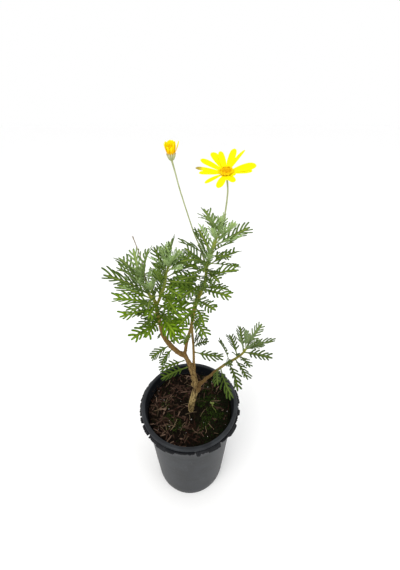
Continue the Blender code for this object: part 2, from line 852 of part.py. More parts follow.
def build_bud(matrix):
    rays = mesh_object("bud_rays", *moved(matrix, turned(BUD_PLATE, BUD_DISC_SIDES)), RAY_YELLOW)
    petals = rays_of(BUD_RAYS, BUD_RAY_ROOT_RADIUS, BUD_RAY_ROOT_HEIGHT, BUD_RAY_BEND)
    join(rays, [moved(matrix, petal) for petal in petals])
    mesh_object("bud_disc", *moved(matrix, turned(BUD_DISC, BUD_DISC_SIDES)), DISC_ORANGE)


def build_stalks(stalks, open_matrix, bud_matrix):
    """The stalks; those of the heads end in the head's green cup."""
    flower = mesh_object("flower_stalk", *tube(stalks["flower_stalk"], STALK_SIDES), STALK_GREEN)
    join(flower, [moved(open_matrix, turned(OPEN_CUP, CUP_SIDES))])
    bud = mesh_object("bud_stalk", *tube(stalks["bud_stalk"], STALK_SIDES), STALK_GREEN)
    join(bud, [moved(bud_matrix, turned(BUD_CUP, CUP_SIDES))])
    mesh_object("dry_stalk", *tube(stalks["dry_stalk"], STALK_SIDES), DRY_BROWN)


def main():
    clear_scene()
    build_pot()
    build_soil()
    build_wood()
    shoots, stalks = stem_parts()
    build_shoots(shoots, thicket_of(shoots, stalks))
    open_matrix = head_matrix(stalks["flower_stalk"][-1][0], HEAD_TILT, HEAD_LEAN)
    bud_matrix = head_matrix(stalks["bud_stalk"][-1][0], 0, BUD_LEAN)
    build_stalks(stalks, open_matrix, bud_matrix)
    build_open_head(open_matrix)
    build_bud(bud_matrix)


main()
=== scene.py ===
# %% [markdown]
# # A gray-leaved euryops in its nursery pot
# A small shrub from a plant nursery: a corky trunk that forks just above the soil, shoots of felted,
# deeply lobed leaves, one open yellow daisy, one half-open one, and a black plastic pot.
# The solids of the plant are loaded first. They fix where everything is, so every finer piece below
# is modelled in the same place and then stands in for its solid.

# %% Load the fixed solids
import random
from math import asin, atan2, cos, exp, hypot, pi, radians, sin, sqrt, tau

import bmesh
import bpy
import numpy as np
from mathutils import Matrix, Vector, noise
from mathutils.bvhtree import BVHTree


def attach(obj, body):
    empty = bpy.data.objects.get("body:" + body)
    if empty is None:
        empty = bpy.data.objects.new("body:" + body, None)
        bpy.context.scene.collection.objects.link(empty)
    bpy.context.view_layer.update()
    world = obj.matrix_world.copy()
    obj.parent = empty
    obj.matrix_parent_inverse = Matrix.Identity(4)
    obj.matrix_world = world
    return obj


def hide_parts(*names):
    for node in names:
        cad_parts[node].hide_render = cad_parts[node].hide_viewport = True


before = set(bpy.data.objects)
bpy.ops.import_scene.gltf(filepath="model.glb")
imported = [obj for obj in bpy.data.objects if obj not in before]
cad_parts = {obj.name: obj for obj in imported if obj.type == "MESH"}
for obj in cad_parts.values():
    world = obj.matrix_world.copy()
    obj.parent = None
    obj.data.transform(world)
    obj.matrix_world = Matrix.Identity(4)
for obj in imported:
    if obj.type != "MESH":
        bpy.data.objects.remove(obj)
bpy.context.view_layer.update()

MM = 0.001
BODY = "root"

# %% [markdown]
# ## Camera
# The rim of the pot is a circle, so the ellipse that it makes in a picture tells how steeply the camera
# looks down and how far off it is. It stands 46 cm up and 26 cm in front of the trunk, so close that the
# lens is a wide one. The sensor is 36 mm on the picture's long side, and the shift places the middle of
# the view.

# %% Camera
FRAME_HEIGHT = 570
FOCAL_PIXELS = 290
MIDDLE_ROW = 240
SENSOR = 36
CAMERA_PLACE = (0.0134, -0.2621, 0.4629)
LOOKS_DOWN = radians(23.7)

camera_data = bpy.data.cameras.new("camera")
camera_data.sensor_fit = "VERTICAL"
camera_data.sensor_height = SENSOR
camera_data.lens = FOCAL_PIXELS / FRAME_HEIGHT * SENSOR
camera_data.shift_y = (MIDDLE_ROW - FRAME_HEIGHT / 2) / FRAME_HEIGHT
camera_data.clip_start = 0.01
camera = bpy.data.objects.new("camera", camera_data)
bpy.context.scene.collection.objects.link(camera)
camera.location = CAMERA_PLACE
camera.rotation_euler = (radians(90) - LOOKS_DOWN, 0, 0)
bpy.context.scene.camera = camera
bpy.context.scene.view_settings.view_transform = "Standard"
print("lens", round(camera_data.lens, 2), "mm, shift", round(camera_data.shift_y, 4))

# %% [markdown]
# ## Modelling helpers
# Everything is modelled as one would by hand: a primitive is added, shaped in edit mode and finished
# with modifiers. An operator works on whatever is selected, so each new piece starts with nothing
# selected, and faces and edges are then picked by where they are.

# %% Modelling helpers
def start_afresh():
    if bpy.context.mode != "OBJECT":
        bpy.ops.object.mode_set(mode="OBJECT")
    bpy.ops.object.select_all(action="DESELECT")


def new_piece(name, add, **settings):
    """Adds a primitive with nothing else selected, and returns it as the active object."""
    start_afresh()
    add(**settings)
    piece = bpy.context.active_object
    piece.name = name
    piece.data.name = name
    return piece


def only(piece):
    start_afresh()
    piece.select_set(True)
    bpy.context.view_layer.objects.active = piece
    return piece


def edit(piece):
    """Enters edit mode with all of the piece selected."""
    only(piece)
    bpy.ops.object.mode_set(mode="EDIT")
    bpy.ops.mesh.select_all(action="SELECT")


def pick(piece, kind, rule):
    """In edit mode, selects the vertices, edges or faces for which the rule says yes."""
    bpy.ops.mesh.select_mode(type=kind)
    bpy.ops.mesh.select_all(action="DESELECT")
    shape = bmesh.from_edit_mesh(piece.data)
    parts = {"VERT": shape.verts, "EDGE": shape.edges, "FACE": shape.faces}[kind]
    for part in parts:
        if rule(part):
            part.select_set(True)
    shape.select_flush_mode()
    bmesh.update_edit_mesh(piece.data)


def done(piece):
    """Leaves edit mode with the piece's normals turned outwards."""
    bpy.ops.mesh.select_all(action="SELECT")
    bpy.ops.mesh.normals_make_consistent(inside=False)
    bpy.ops.object.mode_set(mode="OBJECT")
    return piece


def settle(piece):
    """Moves the piece's place into its mesh, so that its object sits at the origin."""
    only(piece)
    bpy.ops.object.transform_apply(location=True, rotation=True, scale=True)
    return piece


def apply(piece, kind, **settings):
    """Adds a modifier with these settings and applies it."""
    only(piece)
    modifier = piece.modifiers.new(kind.lower(), kind)
    for key, value in settings.items():
        setattr(modifier, key, value)
    bpy.ops.object.modifier_apply(modifier=modifier.name)
    return piece


def rounder(piece, levels):
    return apply(piece, "SUBSURF", levels=levels, render_levels=levels)


def points_of(piece):
    places = np.empty(len(piece.data.vertices) * 3)
    piece.data.vertices.foreach_get("co", places)
    return places.reshape(-1, 3)


def set_points(piece, places):
    piece.data.vertices.foreach_set("co", np.ascontiguousarray(places, dtype=np.float32).ravel())
    piece.data.update()


def push_out(piece, amounts):
    """Moves each point along its normal by its own amount."""
    normals = np.empty(len(piece.data.vertices) * 3)
    piece.data.vertices.foreach_get("normal", normals)
    set_points(piece, points_of(piece) + normals.reshape(-1, 3) * np.asarray(amounts)[:, None])


def shade(piece, angle=None):
    """Smooth shading, with edges sharper than the angle kept sharp."""
    only(piece)
    if angle is None:
        bpy.ops.object.shade_smooth()
    else:
        bpy.ops.object.shade_smooth_by_angle(angle=radians(angle))
    return piece


def joined(name, pieces):
    """Joins loose pieces into one object."""
    start_afresh()
    for piece in pieces:
        piece.select_set(True)
    bpy.context.view_layer.objects.active = pieces[0]
    if len(pieces) > 1:
        bpy.ops.object.join()
    whole = bpy.context.active_object
    whole.name = name
    whole.data.name = name
    return whole


def copy_of(blank):
    """A copy with its own mesh."""
    twin = bpy.data.objects.new(blank.name, blank.data.copy())
    bpy.context.scene.collection.objects.link(twin)
    return twin


def away(*pieces):
    for piece in pieces:
        bpy.data.objects.remove(piece, do_unlink=True)


def tint(piece, values, name="tone"):
    """Keeps three numbers on each point for the finish to read, such as age, chance and a mark."""
    layer = piece.data.color_attributes.get(name)
    if layer is None:
        layer = piece.data.color_attributes.new(name=name, type="FLOAT_COLOR", domain="POINT")
    table = np.ones((len(piece.data.vertices), 4), dtype=np.float32)
    table[:, :3] = values
    layer.data.foreach_set("color", table.ravel())


def kept_by(piece, name):
    """The numbers that tint() kept on the points."""
    layer = piece.data.color_attributes[name]
    table = np.empty(len(layer.data) * 4, dtype=np.float32)
    layer.data.foreach_get("color", table)
    return table.reshape(-1, 4)[:, :3]


def dress(piece, finish, slot, *nodes):
    """Gives a piece its finish, lets it ride with the plant and stand for its solids."""
    piece.data.materials.clear()
    piece.data.materials.append(finish)
    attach(piece, BODY)
    if nodes:
        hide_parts(*nodes)
    triangles = sum(len(face.vertices) - 2 for face in piece.data.polygons)
    print(f"{piece.name}: {triangles} triangles")


def clamp(value, low=0.0, high=1.0):
    return min(max(value, low), high)


UP = Vector((0, 0, 1))


def outward(turn):
    """The level direction at this angle round the upright axis."""
    return Vector((cos(turn), sin(turn), 0))


# %% [markdown]
# ## Finishes as expressions
# A node tree is a formula drawn as boxes. Here it is written as a formula: a `Wire` stands for one
# socket, and + - * between wires and numbers add the Math nodes. Colours and vectors go through
# `mix` or `layers`, and any other node comes from `Finish.node`.

# %% Finishes as expressions
class Wire:
    def __init__(self, finish, socket):
        self.finish = finish
        self.socket = socket

    def __add__(self, other):
        return self.finish.maths("ADD", self, other)

    __radd__ = __add__

    def __mul__(self, other):
        return self.finish.maths("MULTIPLY", self, other)

    __rmul__ = __mul__

    def __sub__(self, other):
        return self.finish.maths("SUBTRACT", self, other)

    def __rsub__(self, other):
        return self.finish.maths("SUBTRACT", other, self)

    def away_from(self, middle):
        return self.finish.maths("ABSOLUTE", self - middle)

    def between(self, low, high):
        """0 below low, 1 above high, and a soft step between them."""
        ranged = self.finish.node(
            "MapRange", {"interpolation_type": "SMOOTHSTEP"},
            {"Value": self, "From Min": low, "From Max": high}
        )
        return self.finish.wire(ranged, "Result")


class Finish:
    def __init__(self, name, **constants):
        self.material = bpy.data.materials.new(name)
        self.material.use_nodes = True
        self.tree = self.material.node_tree
        self.shader = self.tree.nodes["Principled BSDF"]
        for socket, value in constants.items():
            self.shader.inputs[socket.replace("_", " ")].default_value = value

    def wire(self, node, output):
        return Wire(self, node.outputs[output])

    def feed(self, socket, value):
        if isinstance(value, Wire):
            self.tree.links.new(value.socket, socket)
        else:
            socket.default_value = value

    def node(self, kind, settings=None, inputs=None):
        node = self.tree.nodes.new("ShaderNode" + kind)
        for key, value in (settings or {}).items():
            if key == "stops":
                ramp = node.color_ramp
                while len(ramp.elements) < len(value):
                    ramp.elements.new(0.5)
                for element, (place, colour) in zip(ramp.elements, value):
                    element.position = place
                    element.color = (*colour, 1)
            else:
                setattr(node, key, value)
        for key, value in (inputs or {}).items():
            self.feed(node.inputs[key], value)
        return node

    def maths(self, operation, *values):
        return self.wire(self.node("Math", {"operation": operation}, dict(enumerate(values))), 0)

    def mix(self, share, first, second):
        """The first colour where the share is 0, and the second where it is 1."""
        ends = [value if isinstance(value, Wire) else (*value, 1) for value in (first, second)]
        return self.wire(self.node("Mix", {"data_type": "RGBA"}, {0: share, 6: ends[0], 7: ends[1]}), 2)

    def layers(self, base, *over):
        """The base colour with each pair of share and colour laid over what is there already."""
        for share, colour in over:
            base = self.mix(share, base, colour)
        return base

    def place(self, stretch=(1, 1, 1)):
        """The point on the piece, with its axes stretched."""
        where = self.wire(self.node("TexCoord"), "Object")
        return self.wire(self.node("Mapping", None, {"Vector": where, "Scale": stretch}), 0)

    def axis(self, name):
        """How far along one axis the point is."""
        return self.wire(self.node("SeparateXYZ", None, {0: self.place()}), name)

    def distance(self, stretch=(1, 1, 1)):
        """How far the point is from the origin."""
        return self.wire(self.node("VectorMath", {"operation": "LENGTH"}, {0: self.place(stretch)}), "Value")

    def noise(self, size, detail=3, roughness=0.55, stretch=(1, 1, 1)):
        """Cloudy noise whose lumps are about this many metres wide."""
        inputs = {"Vector": self.place(stretch), "Scale": 1 / size, "Detail": detail, "Roughness": roughness}
        return self.wire(self.node("TexNoise", None, inputs), 0)

    def cells(self, size, stretch=(1, 1, 1)):
        """How far the point is from the middle of its own cell."""
        node = self.node("TexVoronoi", None, {"Vector": self.place(stretch), "Scale": 1 / size})
        return self.wire(node, "Distance")

    def tone(self, channel, name="tone"):
        """One of the three numbers that tint() kept on the mesh."""
        kept = self.wire(self.node("Attribute", {"attribute_name": name}), "Color")
        return self.wire(self.node("SeparateColor", None, {0: kept}), channel)

    def show(self, colour, roughness, bump=None, depth=0.0002, strength=1.0):
        """Connects what varies over the surface to the shader and returns the material."""
        self.feed(self.shader.inputs["Base Color"], colour)
        self.feed(self.shader.inputs["Roughness"], roughness)
        if bump is not None:
            relief = self.node("Bump", None, {"Height": bump, "Distance": depth, "Strength": strength})
            self.feed(self.shader.inputs["Normal"], self.wire(relief, 0))
        return self.material


print("helpers are ready")

# %% [markdown]
# ## Pot
# A nursery pot is blown or pressed from thin black plastic: a smooth tapered wall, a collar, a rounded
# lip that is a little shinier from handling, and under the lip a thin flange whose edge has been cut
# and torn into ragged tabs, more so at the front right. A turned shape can be spun from a profile, but
# here it is pulled up from its base: a filled circle is extruded ring by ring, up the outside, over the
# lip and down inside, and each ring is scaled to its radius. That shows how the wall is one folded skin.

# %% Pot: wall and lip
POT_SIDES = 144
POT_RINGS = (
    (43.5, 0.0), (44.5, 0.4), (45.0, 1.5), (45.9, 10), (48.2, 30), (50.4, 52), (52.6, 72), (54.7, 91),
    (56.3, 106), (56.9, 107), (58.6, 107.4), (59.4, 108.2), (59.9, 111), (60.4, 114.6), (60.8, 116.0),
    (61.7, 117.0), (62.0, 118.2), (61.7, 119.2), (61.0, 119.8), (60.0, 120.0), (58.8, 120.0),
    (57.8, 119.7), (57.1, 119.0), (56.7, 117.8), (56.3, 115.5), (55.9, 113), (55.5, 110.5), (55.0, 108),
    (52.5, 80), (48.0, 40), (43.9, 5), (43.2, 2.5), (42.2, 2.2)
)
DRAIN_HOLES = 6
DRAIN_RADIUS = 5 * MM
DRAIN_CIRCLE = 34 * MM
DRAIN_SIDES = 32
DRILL_LENGTH = 10 * MM


def pulled_up(name, sides, rings, unit=MM):
    """A filled circle extruded through rings of (radius, height), left in edit mode, its top selected."""
    first_radius, first_height = rings[0]
    piece = new_piece(
        name, bpy.ops.mesh.primitive_circle_add, vertices=sides, radius=first_radius * unit, fill_type="NGON"
    )
    edit(piece)
    bpy.ops.transform.translate(value=(0, 0, first_height * unit))
    for (radius, height), (wider, higher) in zip(rings, rings[1:]):
        rise = (higher - height) * unit
        bpy.ops.mesh.extrude_region_move(TRANSFORM_OT_translate={"value": (0, 0, rise)})
        share = wider / radius
        bpy.ops.transform.resize(value=(share, share, 1), center_override=(0, 0, higher * unit))
    return piece


pot = done(pulled_up("pot_wall", POT_SIDES, POT_RINGS))
drills = []
for number in range(DRAIN_HOLES):
    turn = tau * (number + 0.5) / DRAIN_HOLES
    place = (DRAIN_CIRCLE * cos(turn), DRAIN_CIRCLE * sin(turn), 0)
    drill = new_piece(
        "drill", bpy.ops.mesh.primitive_cylinder_add, vertices=DRAIN_SIDES, radius=DRAIN_RADIUS,
        depth=DRILL_LENGTH, location=place
    )
    drills.append(settle(drill))
drill = joined("drill", drills)
apply(pot, "BOOLEAN", object=drill, operation="DIFFERENCE", solver="EXACT")
away(drill)
shade(pot, 35)
print("lip", round(max(points_of(pot)[:, 2]) / MM, 1), "mm high")

# %% [markdown]
# ## The torn flange
# Its tabs are all a little different, so they are not copies of one tab. The flange is a thin ring,
# extruded outwards from the collar; then a rule of the angle moves its edge: random cuts let it in, and
# between two cuts each tab has its own reach, tilt and curl. Solidify gives it the sheet's thickness.

# %% Pot: torn flange
FLANGE_SIDES = 540
FLANGE_ROOT = 60.3 * MM
FLANGE_HEIGHT = 115.0 * MM
FLANGE_REACHES = (1.2 * MM, 1.1 * MM, 1.0 * MM, 0.9 * MM, 0.8 * MM)
FLANGE_TABS = 38
FLANGE_SHEET = 0.8 * MM
FLANGE_DROOP = 0.5 * MM
DEEPEST_FRAY = 0.9 * MM
CUT_DEPTHS = (0.1, 0.2, 0.35, 0.6, 1.0)

flange = new_piece(
    "pot_flange", bpy.ops.mesh.primitive_circle_add, vertices=FLANGE_SIDES, radius=FLANGE_ROOT,
    fill_type="NOTHING"
)
edit(flange)
ring_radius = FLANGE_ROOT
for reach in FLANGE_REACHES:
    bpy.ops.mesh.extrude_edges_move(TRANSFORM_OT_translate={"value": (0, 0, 0)})
    share = (ring_radius + reach) / ring_radius
    bpy.ops.transform.resize(value=(share, share, 1), center_override=(0, 0, 0))
    ring_radius += reach
bpy.ops.object.mode_set(mode="OBJECT")

draw = random.Random(31)
cuts = sorted((number + draw.uniform(-0.48, 0.48)) / FLANGE_TABS for number in range(FLANGE_TABS))
cut_depths = [draw.choice(CUT_DEPTHS) for cut in cuts]
cut_widths = [draw.uniform(0.001, 0.0055) for cut in cuts]
tab_reach = [draw.uniform(-2.2, 0.4) for cut in cuts]
tab_tilt = [draw.uniform(-1.6, 1.1) for cut in cuts]
full_width = ring_radius - FLANGE_ROOT
places = points_of(flange)
for index, (x, y, z) in enumerate(places):
    radius = hypot(x, y)
    share = (atan2(y, x) / tau) % 1.0
    outness = (radius - FLANGE_ROOT) / full_width
    tab = max((number for number, cut in enumerate(cuts) if cut <= share), default=len(cuts) - 1)
    gap, nearest = min((abs((share - cut + 0.5) % 1.0 - 0.5), number) for number, cut in enumerate(cuts))
    torn = clamp(0.85 + 0.3 * x / FLANGE_ROOT - 0.2 * y / FLANGE_ROOT, 0.7)
    let_in = torn * cut_depths[nearest] * max(0.0, 1 - gap / cut_widths[nearest]) ** 0.6
    fray = noise.noise(Vector((x * 620, y * 620, 3))) * DEEPEST_FRAY
    reach = full_width * outness * (1 - let_in) + torn * (tab_reach[tab] * MM + fray) * outness**2
    lift = torn * (tab_tilt[tab] + 0.7 * noise.noise(Vector((x * 160, y * 160, 9)))) * outness * MM
    radius = FLANGE_ROOT + clamp(reach, 0.05 * MM * outness, full_width + 0.1 * MM)
    height = FLANGE_HEIGHT + lift - FLANGE_DROOP * outness**2
    places[index] = (radius * cos(share * tau), radius * sin(share * tau), height)
set_points(flange, places)
apply(flange, "SOLIDIFY", thickness=FLANGE_SHEET, offset=0)
shade(flange, 50)
print("flange reaches", round(max(np.hypot(*points_of(flange)[:, :2].T)) / MM, 2), "mm out")

# %% [markdown]
# ## Finish of the plastic
# Black plastic is never one flat black. The lip is rubbed smoother and catches the light, the wall has
# faint rings and scratches, and dried soil clings to the inner wall just above the soil. Above the collar
# the inner wall is darkened to near black: painted shade inside the pot.

# %% Finish: black plastic
finish = Finish("black_plastic", Specular_IOR_Level=0.12, Coat_Roughness=0.4)
rings = finish.noise(3 * MM, 2, stretch=(0.02, 0.02, 1))
clouds = finish.noise(18 * MM, 4)
grain = finish.noise(0.6 * MM, 2)
scratches = finish.noise(0.9 * MM, 2, stretch=(1, 1, 0.06)).between(0.62, 0.74)
splash = finish.noise(2.2 * MM, 5, 0.7).between(0.56, 0.66)
above_soil = 1 - finish.axis("Z").between(109 * MM, 116 * MM)
above_collar = finish.axis("Z").between(106.6 * MM, 107.2 * MM)
from_middle = finish.distance((1, 1, 0))
inner_wall = (1 - from_middle.between(56.6 * MM, 58.4 * MM)) * above_collar
dirt = splash * above_soil * inner_wall * 0.8
# Painted shade: the inner wall is darkened to near black, as shade falls inside the pot; the dried soil on
# it is real dirt.
soiled_and_shaded = finish.layers(
    (0.009, 0.0105, 0.013), (clouds.between(0.35, 0.7), (0.021, 0.024, 0.028)),
    (inner_wall * 0.95, (0.0012, 0.002, 0.0035)), (scratches * 0.3, (0.06, 0.064, 0.07)),
    (dirt, (0.05, 0.035, 0.022))
)
roughness = 0.36 + 0.14 * clouds + 0.1 * grain + 0.3 * inner_wall - 0.06 * scratches
relief = rings * 0.35 + grain * 0.12 + clouds * 0.3 - scratches * 0.1
finish.feed(finish.shader.inputs["Coat Weight"], (1 - inner_wall) * 0.2)
black_plastic = finish.show(soiled_and_shaded, roughness, relief, depth=0.00035, strength=0.6)

finish = Finish("torn_plastic", Specular_IOR_Level=0.22)
fray_marks = finish.noise(1.1 * MM, 4, 0.65)
torn_colour = finish.mix(fray_marks.between(0.35, 0.8), (0.0035, 0.004, 0.005), (0.020, 0.021, 0.025))
torn_plastic = finish.show(torn_colour, 0.42 + 0.3 * fray_marks, fray_marks, depth=0.0004)

dress(pot, black_plastic, "black_plastic", "pot")
dress(flange, torn_plastic, "black_plastic", "pot")

# %% [markdown]
# ## Soil
# Potting mix fills the pot from its base to a finger's width under the lip. Its top is modelled as
# rings drawn in towards its middle, lifted by smooth noise for mounds and finer noise for crumbs. What
# lies on it is real geometry too: strips of bark, crumbs, white perlite, rootlets, moss and a seedling.

# %% Soil: the body
SOIL_SIDES = 150
SOIL_WALL = ((42.7, 2.5), (46.0, 30), (49.3, 60), (52.3, 88), (54.0, 103), (54.4, 106))
SOIL_RADIUS, SOIL_TOP = SOIL_WALL[-1]
SOIL_RINGS = 34
SOIL_LEVEL = 108 * MM
SOIL_EDGE = SOIL_RADIUS * MM
TRUNK_FOOT = Vector((2.0, -5.0, 108)) * MM
HEAP_WIDTH = 11 * MM


def soil_height(x, y):
    """How high the soil is at a point: mounds, lumps and crumbs, lower at the pot's wall."""
    mound = noise.noise(Vector((x * 28, y * 28, 1.5))) * 1.3 * MM
    lumps = noise.noise(Vector((x * 110, y * 110, 4.0))) * 0.9 * MM
    crumbs = noise.noise(Vector((x * 420, y * 420, 8.0))) * 0.55 * MM
    edge = max(0.0, hypot(x, y) / SOIL_EDGE - 0.88) / 0.12
    from_trunk = ((x - TRUNK_FOOT.x) ** 2 + (y - TRUNK_FOOT.y) ** 2) / HEAP_WIDTH**2
    heap = 1.6 * MM * exp(-from_trunk)
    return SOIL_LEVEL + mound + lumps + crumbs + heap - 1.5 * MM * edge**2


top_rings = [(SOIL_RADIUS * (1 - number / SOIL_RINGS), SOIL_TOP) for number in range(1, SOIL_RINGS)]
soil = pulled_up("soil_body", SOIL_SIDES, [*SOIL_WALL, *top_rings])
bpy.ops.mesh.merge(type="CENTER")
done(soil)
places = points_of(soil)
for index, (x, y, z) in enumerate(places):
    if z > (SOIL_TOP - 0.1) * MM:
        places[index][2] = soil_height(x, y)
set_points(soil, places)
shade(soil)

finish = Finish("potting_soil", Specular_IOR_Level=0.04)
crumbs = finish.cells(1.1 * MM)
lumps = finish.noise(2.4 * MM, 5, 0.7)
fibre_marks = finish.noise(0.7 * MM, 3, stretch=(1, 0.25, 1)).between(0.55, 0.75)
patches = finish.noise(16 * MM, 3)
right_side = finish.axis("X").between(-30 * MM, 30 * MM)
tufts = finish.noise(1.3 * MM, 4).between(0.4, 0.62)
moss = (patches * 0.7 + right_side * 0.35).between(0.55, 0.72) * tufts
mossy = finish.layers(
    (0.0020, 0.0013, 0.0009), (lumps.between(0.35, 0.75), (0.0125, 0.0080, 0.0050)),
    (fibre_marks * 0.3, (0.052, 0.027, 0.015)), (moss * 0.8, (0.006, 0.014, 0.003))
)
potting_soil = finish.show(mossy, 0.85 + 0.12 * lumps, lumps + 0.7 * crumbs, depth=0.0012)
dress(soil, potting_soil, "potting_soil", "soil")

# %% [markdown]
# ## What lies on the soil
# Each kind is modelled once, with few faces because there are hundreds, and copied: every copy is
# turned, scaled and laid on the soil by chance from a fixed seed. More bark lies at the left and at the
# back, more moss at the right, and nothing inside the trunk.

# %% Scatter helper
STREWN_REACH = 52.5 * MM
TRUNK_ROOM = 6.5 * MM


def chance_place(draw, reach):
    """A place on the soil within this reach of the middle."""
    far = reach * sqrt(draw.random())
    turn = draw.uniform(0, tau)
    return far * cos(turn), far * sin(turn)


def strew(name, blanks, count, seed, size_of, where, sink, tilt):
    """Copies of the blanks over the soil: size_of gives a scale, where says how likely a place is."""
    draw = random.Random(seed)
    copies = []
    while len(copies) < count:
        x, y = chance_place(draw, STREWN_REACH)
        beside_trunk = hypot(x - TRUNK_FOOT.x, y - TRUNK_FOOT.y) < TRUNK_ROOM
        if beside_trunk or draw.random() > where(x, y):
            continue
        size = size_of(draw)
        lift = soil_height(x, y) + sink * size.z
        lean = Matrix.Rotation(radians(draw.gauss(0, tilt)), 4, "Y")
        roll = Matrix.Rotation(radians(draw.gauss(0, tilt)), 4, "X")
        heading = Matrix.Rotation(draw.uniform(0, tau), 4, "Z")
        copy = copy_of(draw.choice(blanks))
        turned = Matrix.Translation((x, y, lift)) @ heading @ lean @ roll
        copy.data.transform(turned @ Matrix.Diagonal((*size, 1)))
        tint(copy, (draw.random(), draw.random(), draw.random()))
        copies.append(copy)
    away(*blanks)
    return joined(name, copies)


def uneven(piece, seed, amount):
    """Moves each point a little, so that no chip or crumb is a clean box or ball."""
    draw = random.Random(seed)
    places = points_of(piece)
    places += np.array([[draw.uniform(-amount, amount) for axis in range(3)] for place in places])
    set_points(piece, places)
    return piece


def left_and_back(x, y):
    """How likely bark lies at a point: in patches, mostly at the left and at the back."""
    patch = noise.noise(Vector((x * 45, y * 45, 33)))
    return clamp((0.62 if x < 2 * MM or y > 24 * MM else 0.0) + 0.8 * patch, 0.01)


def anywhere(x, y):
    return 1.0


# %% Soil: bark strips
bark_blanks = []
for seed, bow in ((41, 0.10), (42, -0.12), (43, 0.2)):
    strip = new_piece("bark_strip", bpy.ops.mesh.primitive_cube_add, size=1)
    edit(strip)
    pick(strip, "EDGE", lambda edge: abs(edge.verts[0].co.x - edge.verts[1].co.x) > 0.5)
    bpy.ops.mesh.subdivide(number_cuts=3)
    done(strip)
    places = points_of(strip)
    ends = 1 - 0.45 * (2 * np.abs(places[:, 0])) ** 3
    places[:, 1] = places[:, 1] * ends + bow * (1 - (2 * places[:, 0]) ** 2)
    places[:, 2] = places[:, 2] * ends + 0.25 * np.sin(places[:, 0] * 5 + seed)
    set_points(strip, places)
    uneven(strip, seed, 0.07)
    bark_blanks.append(strip)


def strip_size(draw):
    length = draw.uniform(3, 13)
    return Vector((length, draw.uniform(0.55, 1.15) + 6 / (length + 5), draw.uniform(0.5, 1.1))) * MM


bark_strips = strew(
    "soil_bark_strips", bark_blanks, count=300, seed=44, size_of=strip_size, where=left_and_back, sink=0.4,
    tilt=12
)
shade(bark_strips, 40)
finish = Finish("bark_strips", Specular_IOR_Level=0.06)
grain = finish.noise(0.8 * MM, 4, 0.65)
bark_colour = finish.layers(
    (0.024, 0.009, 0.005), (finish.tone(0).between(0.2, 0.95), (0.090, 0.052, 0.036)),
    (grain.between(0.35, 0.7) * 0.8, (0.0075, 0.0040, 0.0025)),
    (finish.tone(1).between(0.86, 1.0) * 0.6, (0.26, 0.17, 0.12))
)
dress(bark_strips, finish.show(bark_colour, 0.8, grain, depth=0.0004), "potting_soil", "soil")

# %% Soil: crumbs and perlite
def uneven_balls(subdivisions, seeds, amount):
    """Small balls with their points moved, one for each seed."""
    balls = []
    for seed in seeds:
        ball = new_piece("ball", bpy.ops.mesh.primitive_ico_sphere_add, subdivisions=subdivisions, radius=1)
        balls.append(uneven(ball, seed, amount))
    return balls


def crumb_size(draw):
    size = draw.uniform(0.5, 1.5) * MM
    return Vector((size, size * draw.uniform(0.7, 1.3), size * draw.uniform(0.5, 0.9)))


crumbs = strew(
    "soil_crumbs", uneven_balls(1, (51, 52, 53), 0.3), count=900, seed=54, size_of=crumb_size,
    where=anywhere, sink=0.1, tilt=40
)
finish = Finish("soil_crumbs", Specular_IOR_Level=0.04)
specks = finish.noise(0.5 * MM, 3)
paler = finish.tone(0) * 0.7 + specks * 0.3
crumb_colour = finish.mix(paler, (0.0018, 0.0012, 0.0008), (0.018, 0.011, 0.0065))
dress(crumbs, finish.show(crumb_colour, 0.9, specks, depth=0.0003), "potting_soil", "soil")


def pearl_size(draw):
    return Vector((1, 1, 0.85)) * draw.uniform(0.3, 0.75) * MM


perlite = strew(
    "soil_perlite", uneven_balls(2, (61, 62), 0.12), count=34, seed=64, size_of=pearl_size,
    where=anywhere, sink=0.3, tilt=40
)
shade(perlite)
finish = Finish("perlite", Specular_IOR_Level=0.3)
pits = finish.noise(0.35 * MM, 3)
perlite_colour = finish.mix(pits.between(0.35, 0.6), (0.12, 0.11, 0.09), (0.50, 0.48, 0.45))
dress(perlite, finish.show(perlite_colour, 0.85, pits, depth=0.0003), "potting_soil", "soil")

# %% [markdown]
# ## Limbs and rootlets
# A limb is drawn as a curve whose points carry their own radius, which Blender can bevel to a tube and
# make a mesh. Stems and stalks are drawn so further on. Rootlets come first: thin limbs, each through a
# few chance points on the soil, and smoothed, because a root has no corners.

# %% Limbs
def limb(path, sides=12, kind="POLY"):
    """A tube along a path of places, radii and directions."""
    stem = new_piece("limb", bpy.ops.curve.primitive_nurbs_path_add)
    line = stem.data
    line.splines.clear()
    spline = line.splines.new(kind)
    spline.points.add(len(path) - 1)
    for point, (place, radius, direction) in zip(spline.points, path):
        point.co = (*place, 1)
        point.radius = radius
    spline.use_endpoint_u = True
    spline.order_u = 3
    spline.resolution_u = 3
    line.dimensions = "3D"
    line.bevel_depth = 1
    line.bevel_resolution = sides // 2 - 2
    line.use_fill_caps = True
    bpy.ops.object.convert(target="MESH")
    return bpy.context.active_object


# %% Soil: rootlets
ROOTLETS = 42
ROOTLET_KNOTS = 6
ROOTLET_REACH = 50 * MM
FEWEST_KNOTS = 3
ROOTLET_SIDES = 4
draw = random.Random(71)
rootlets = []
for number in range(ROOTLETS):
    heading = draw.uniform(0, tau)
    x, y = chance_place(draw, ROOTLET_REACH)
    step = draw.uniform(1.6, 3.4) * MM
    root_line = []
    for knot in range(ROOTLET_KNOTS):
        if hypot(x, y) > STREWN_REACH:
            break
        root_line.append((x, y, soil_height(x, y) + draw.uniform(0.3, 1.3) * MM))
        heading += draw.uniform(-0.6, 0.6)
        x += step * cos(heading)
        y += step * sin(heading)
    if len(root_line) < FEWEST_KNOTS:
        continue
    radius = draw.uniform(0.16, 0.38) * MM
    rootlet = limb([(place, radius, None) for place in root_line], ROOTLET_SIDES, "NURBS")
    tint(rootlet, (draw.random(), draw.random(), 0))
    rootlets.append(rootlet)
rootlets = joined("soil_rootlets", rootlets)
shade(rootlets)
finish = Finish("rootlets", Specular_IOR_Level=0.15)
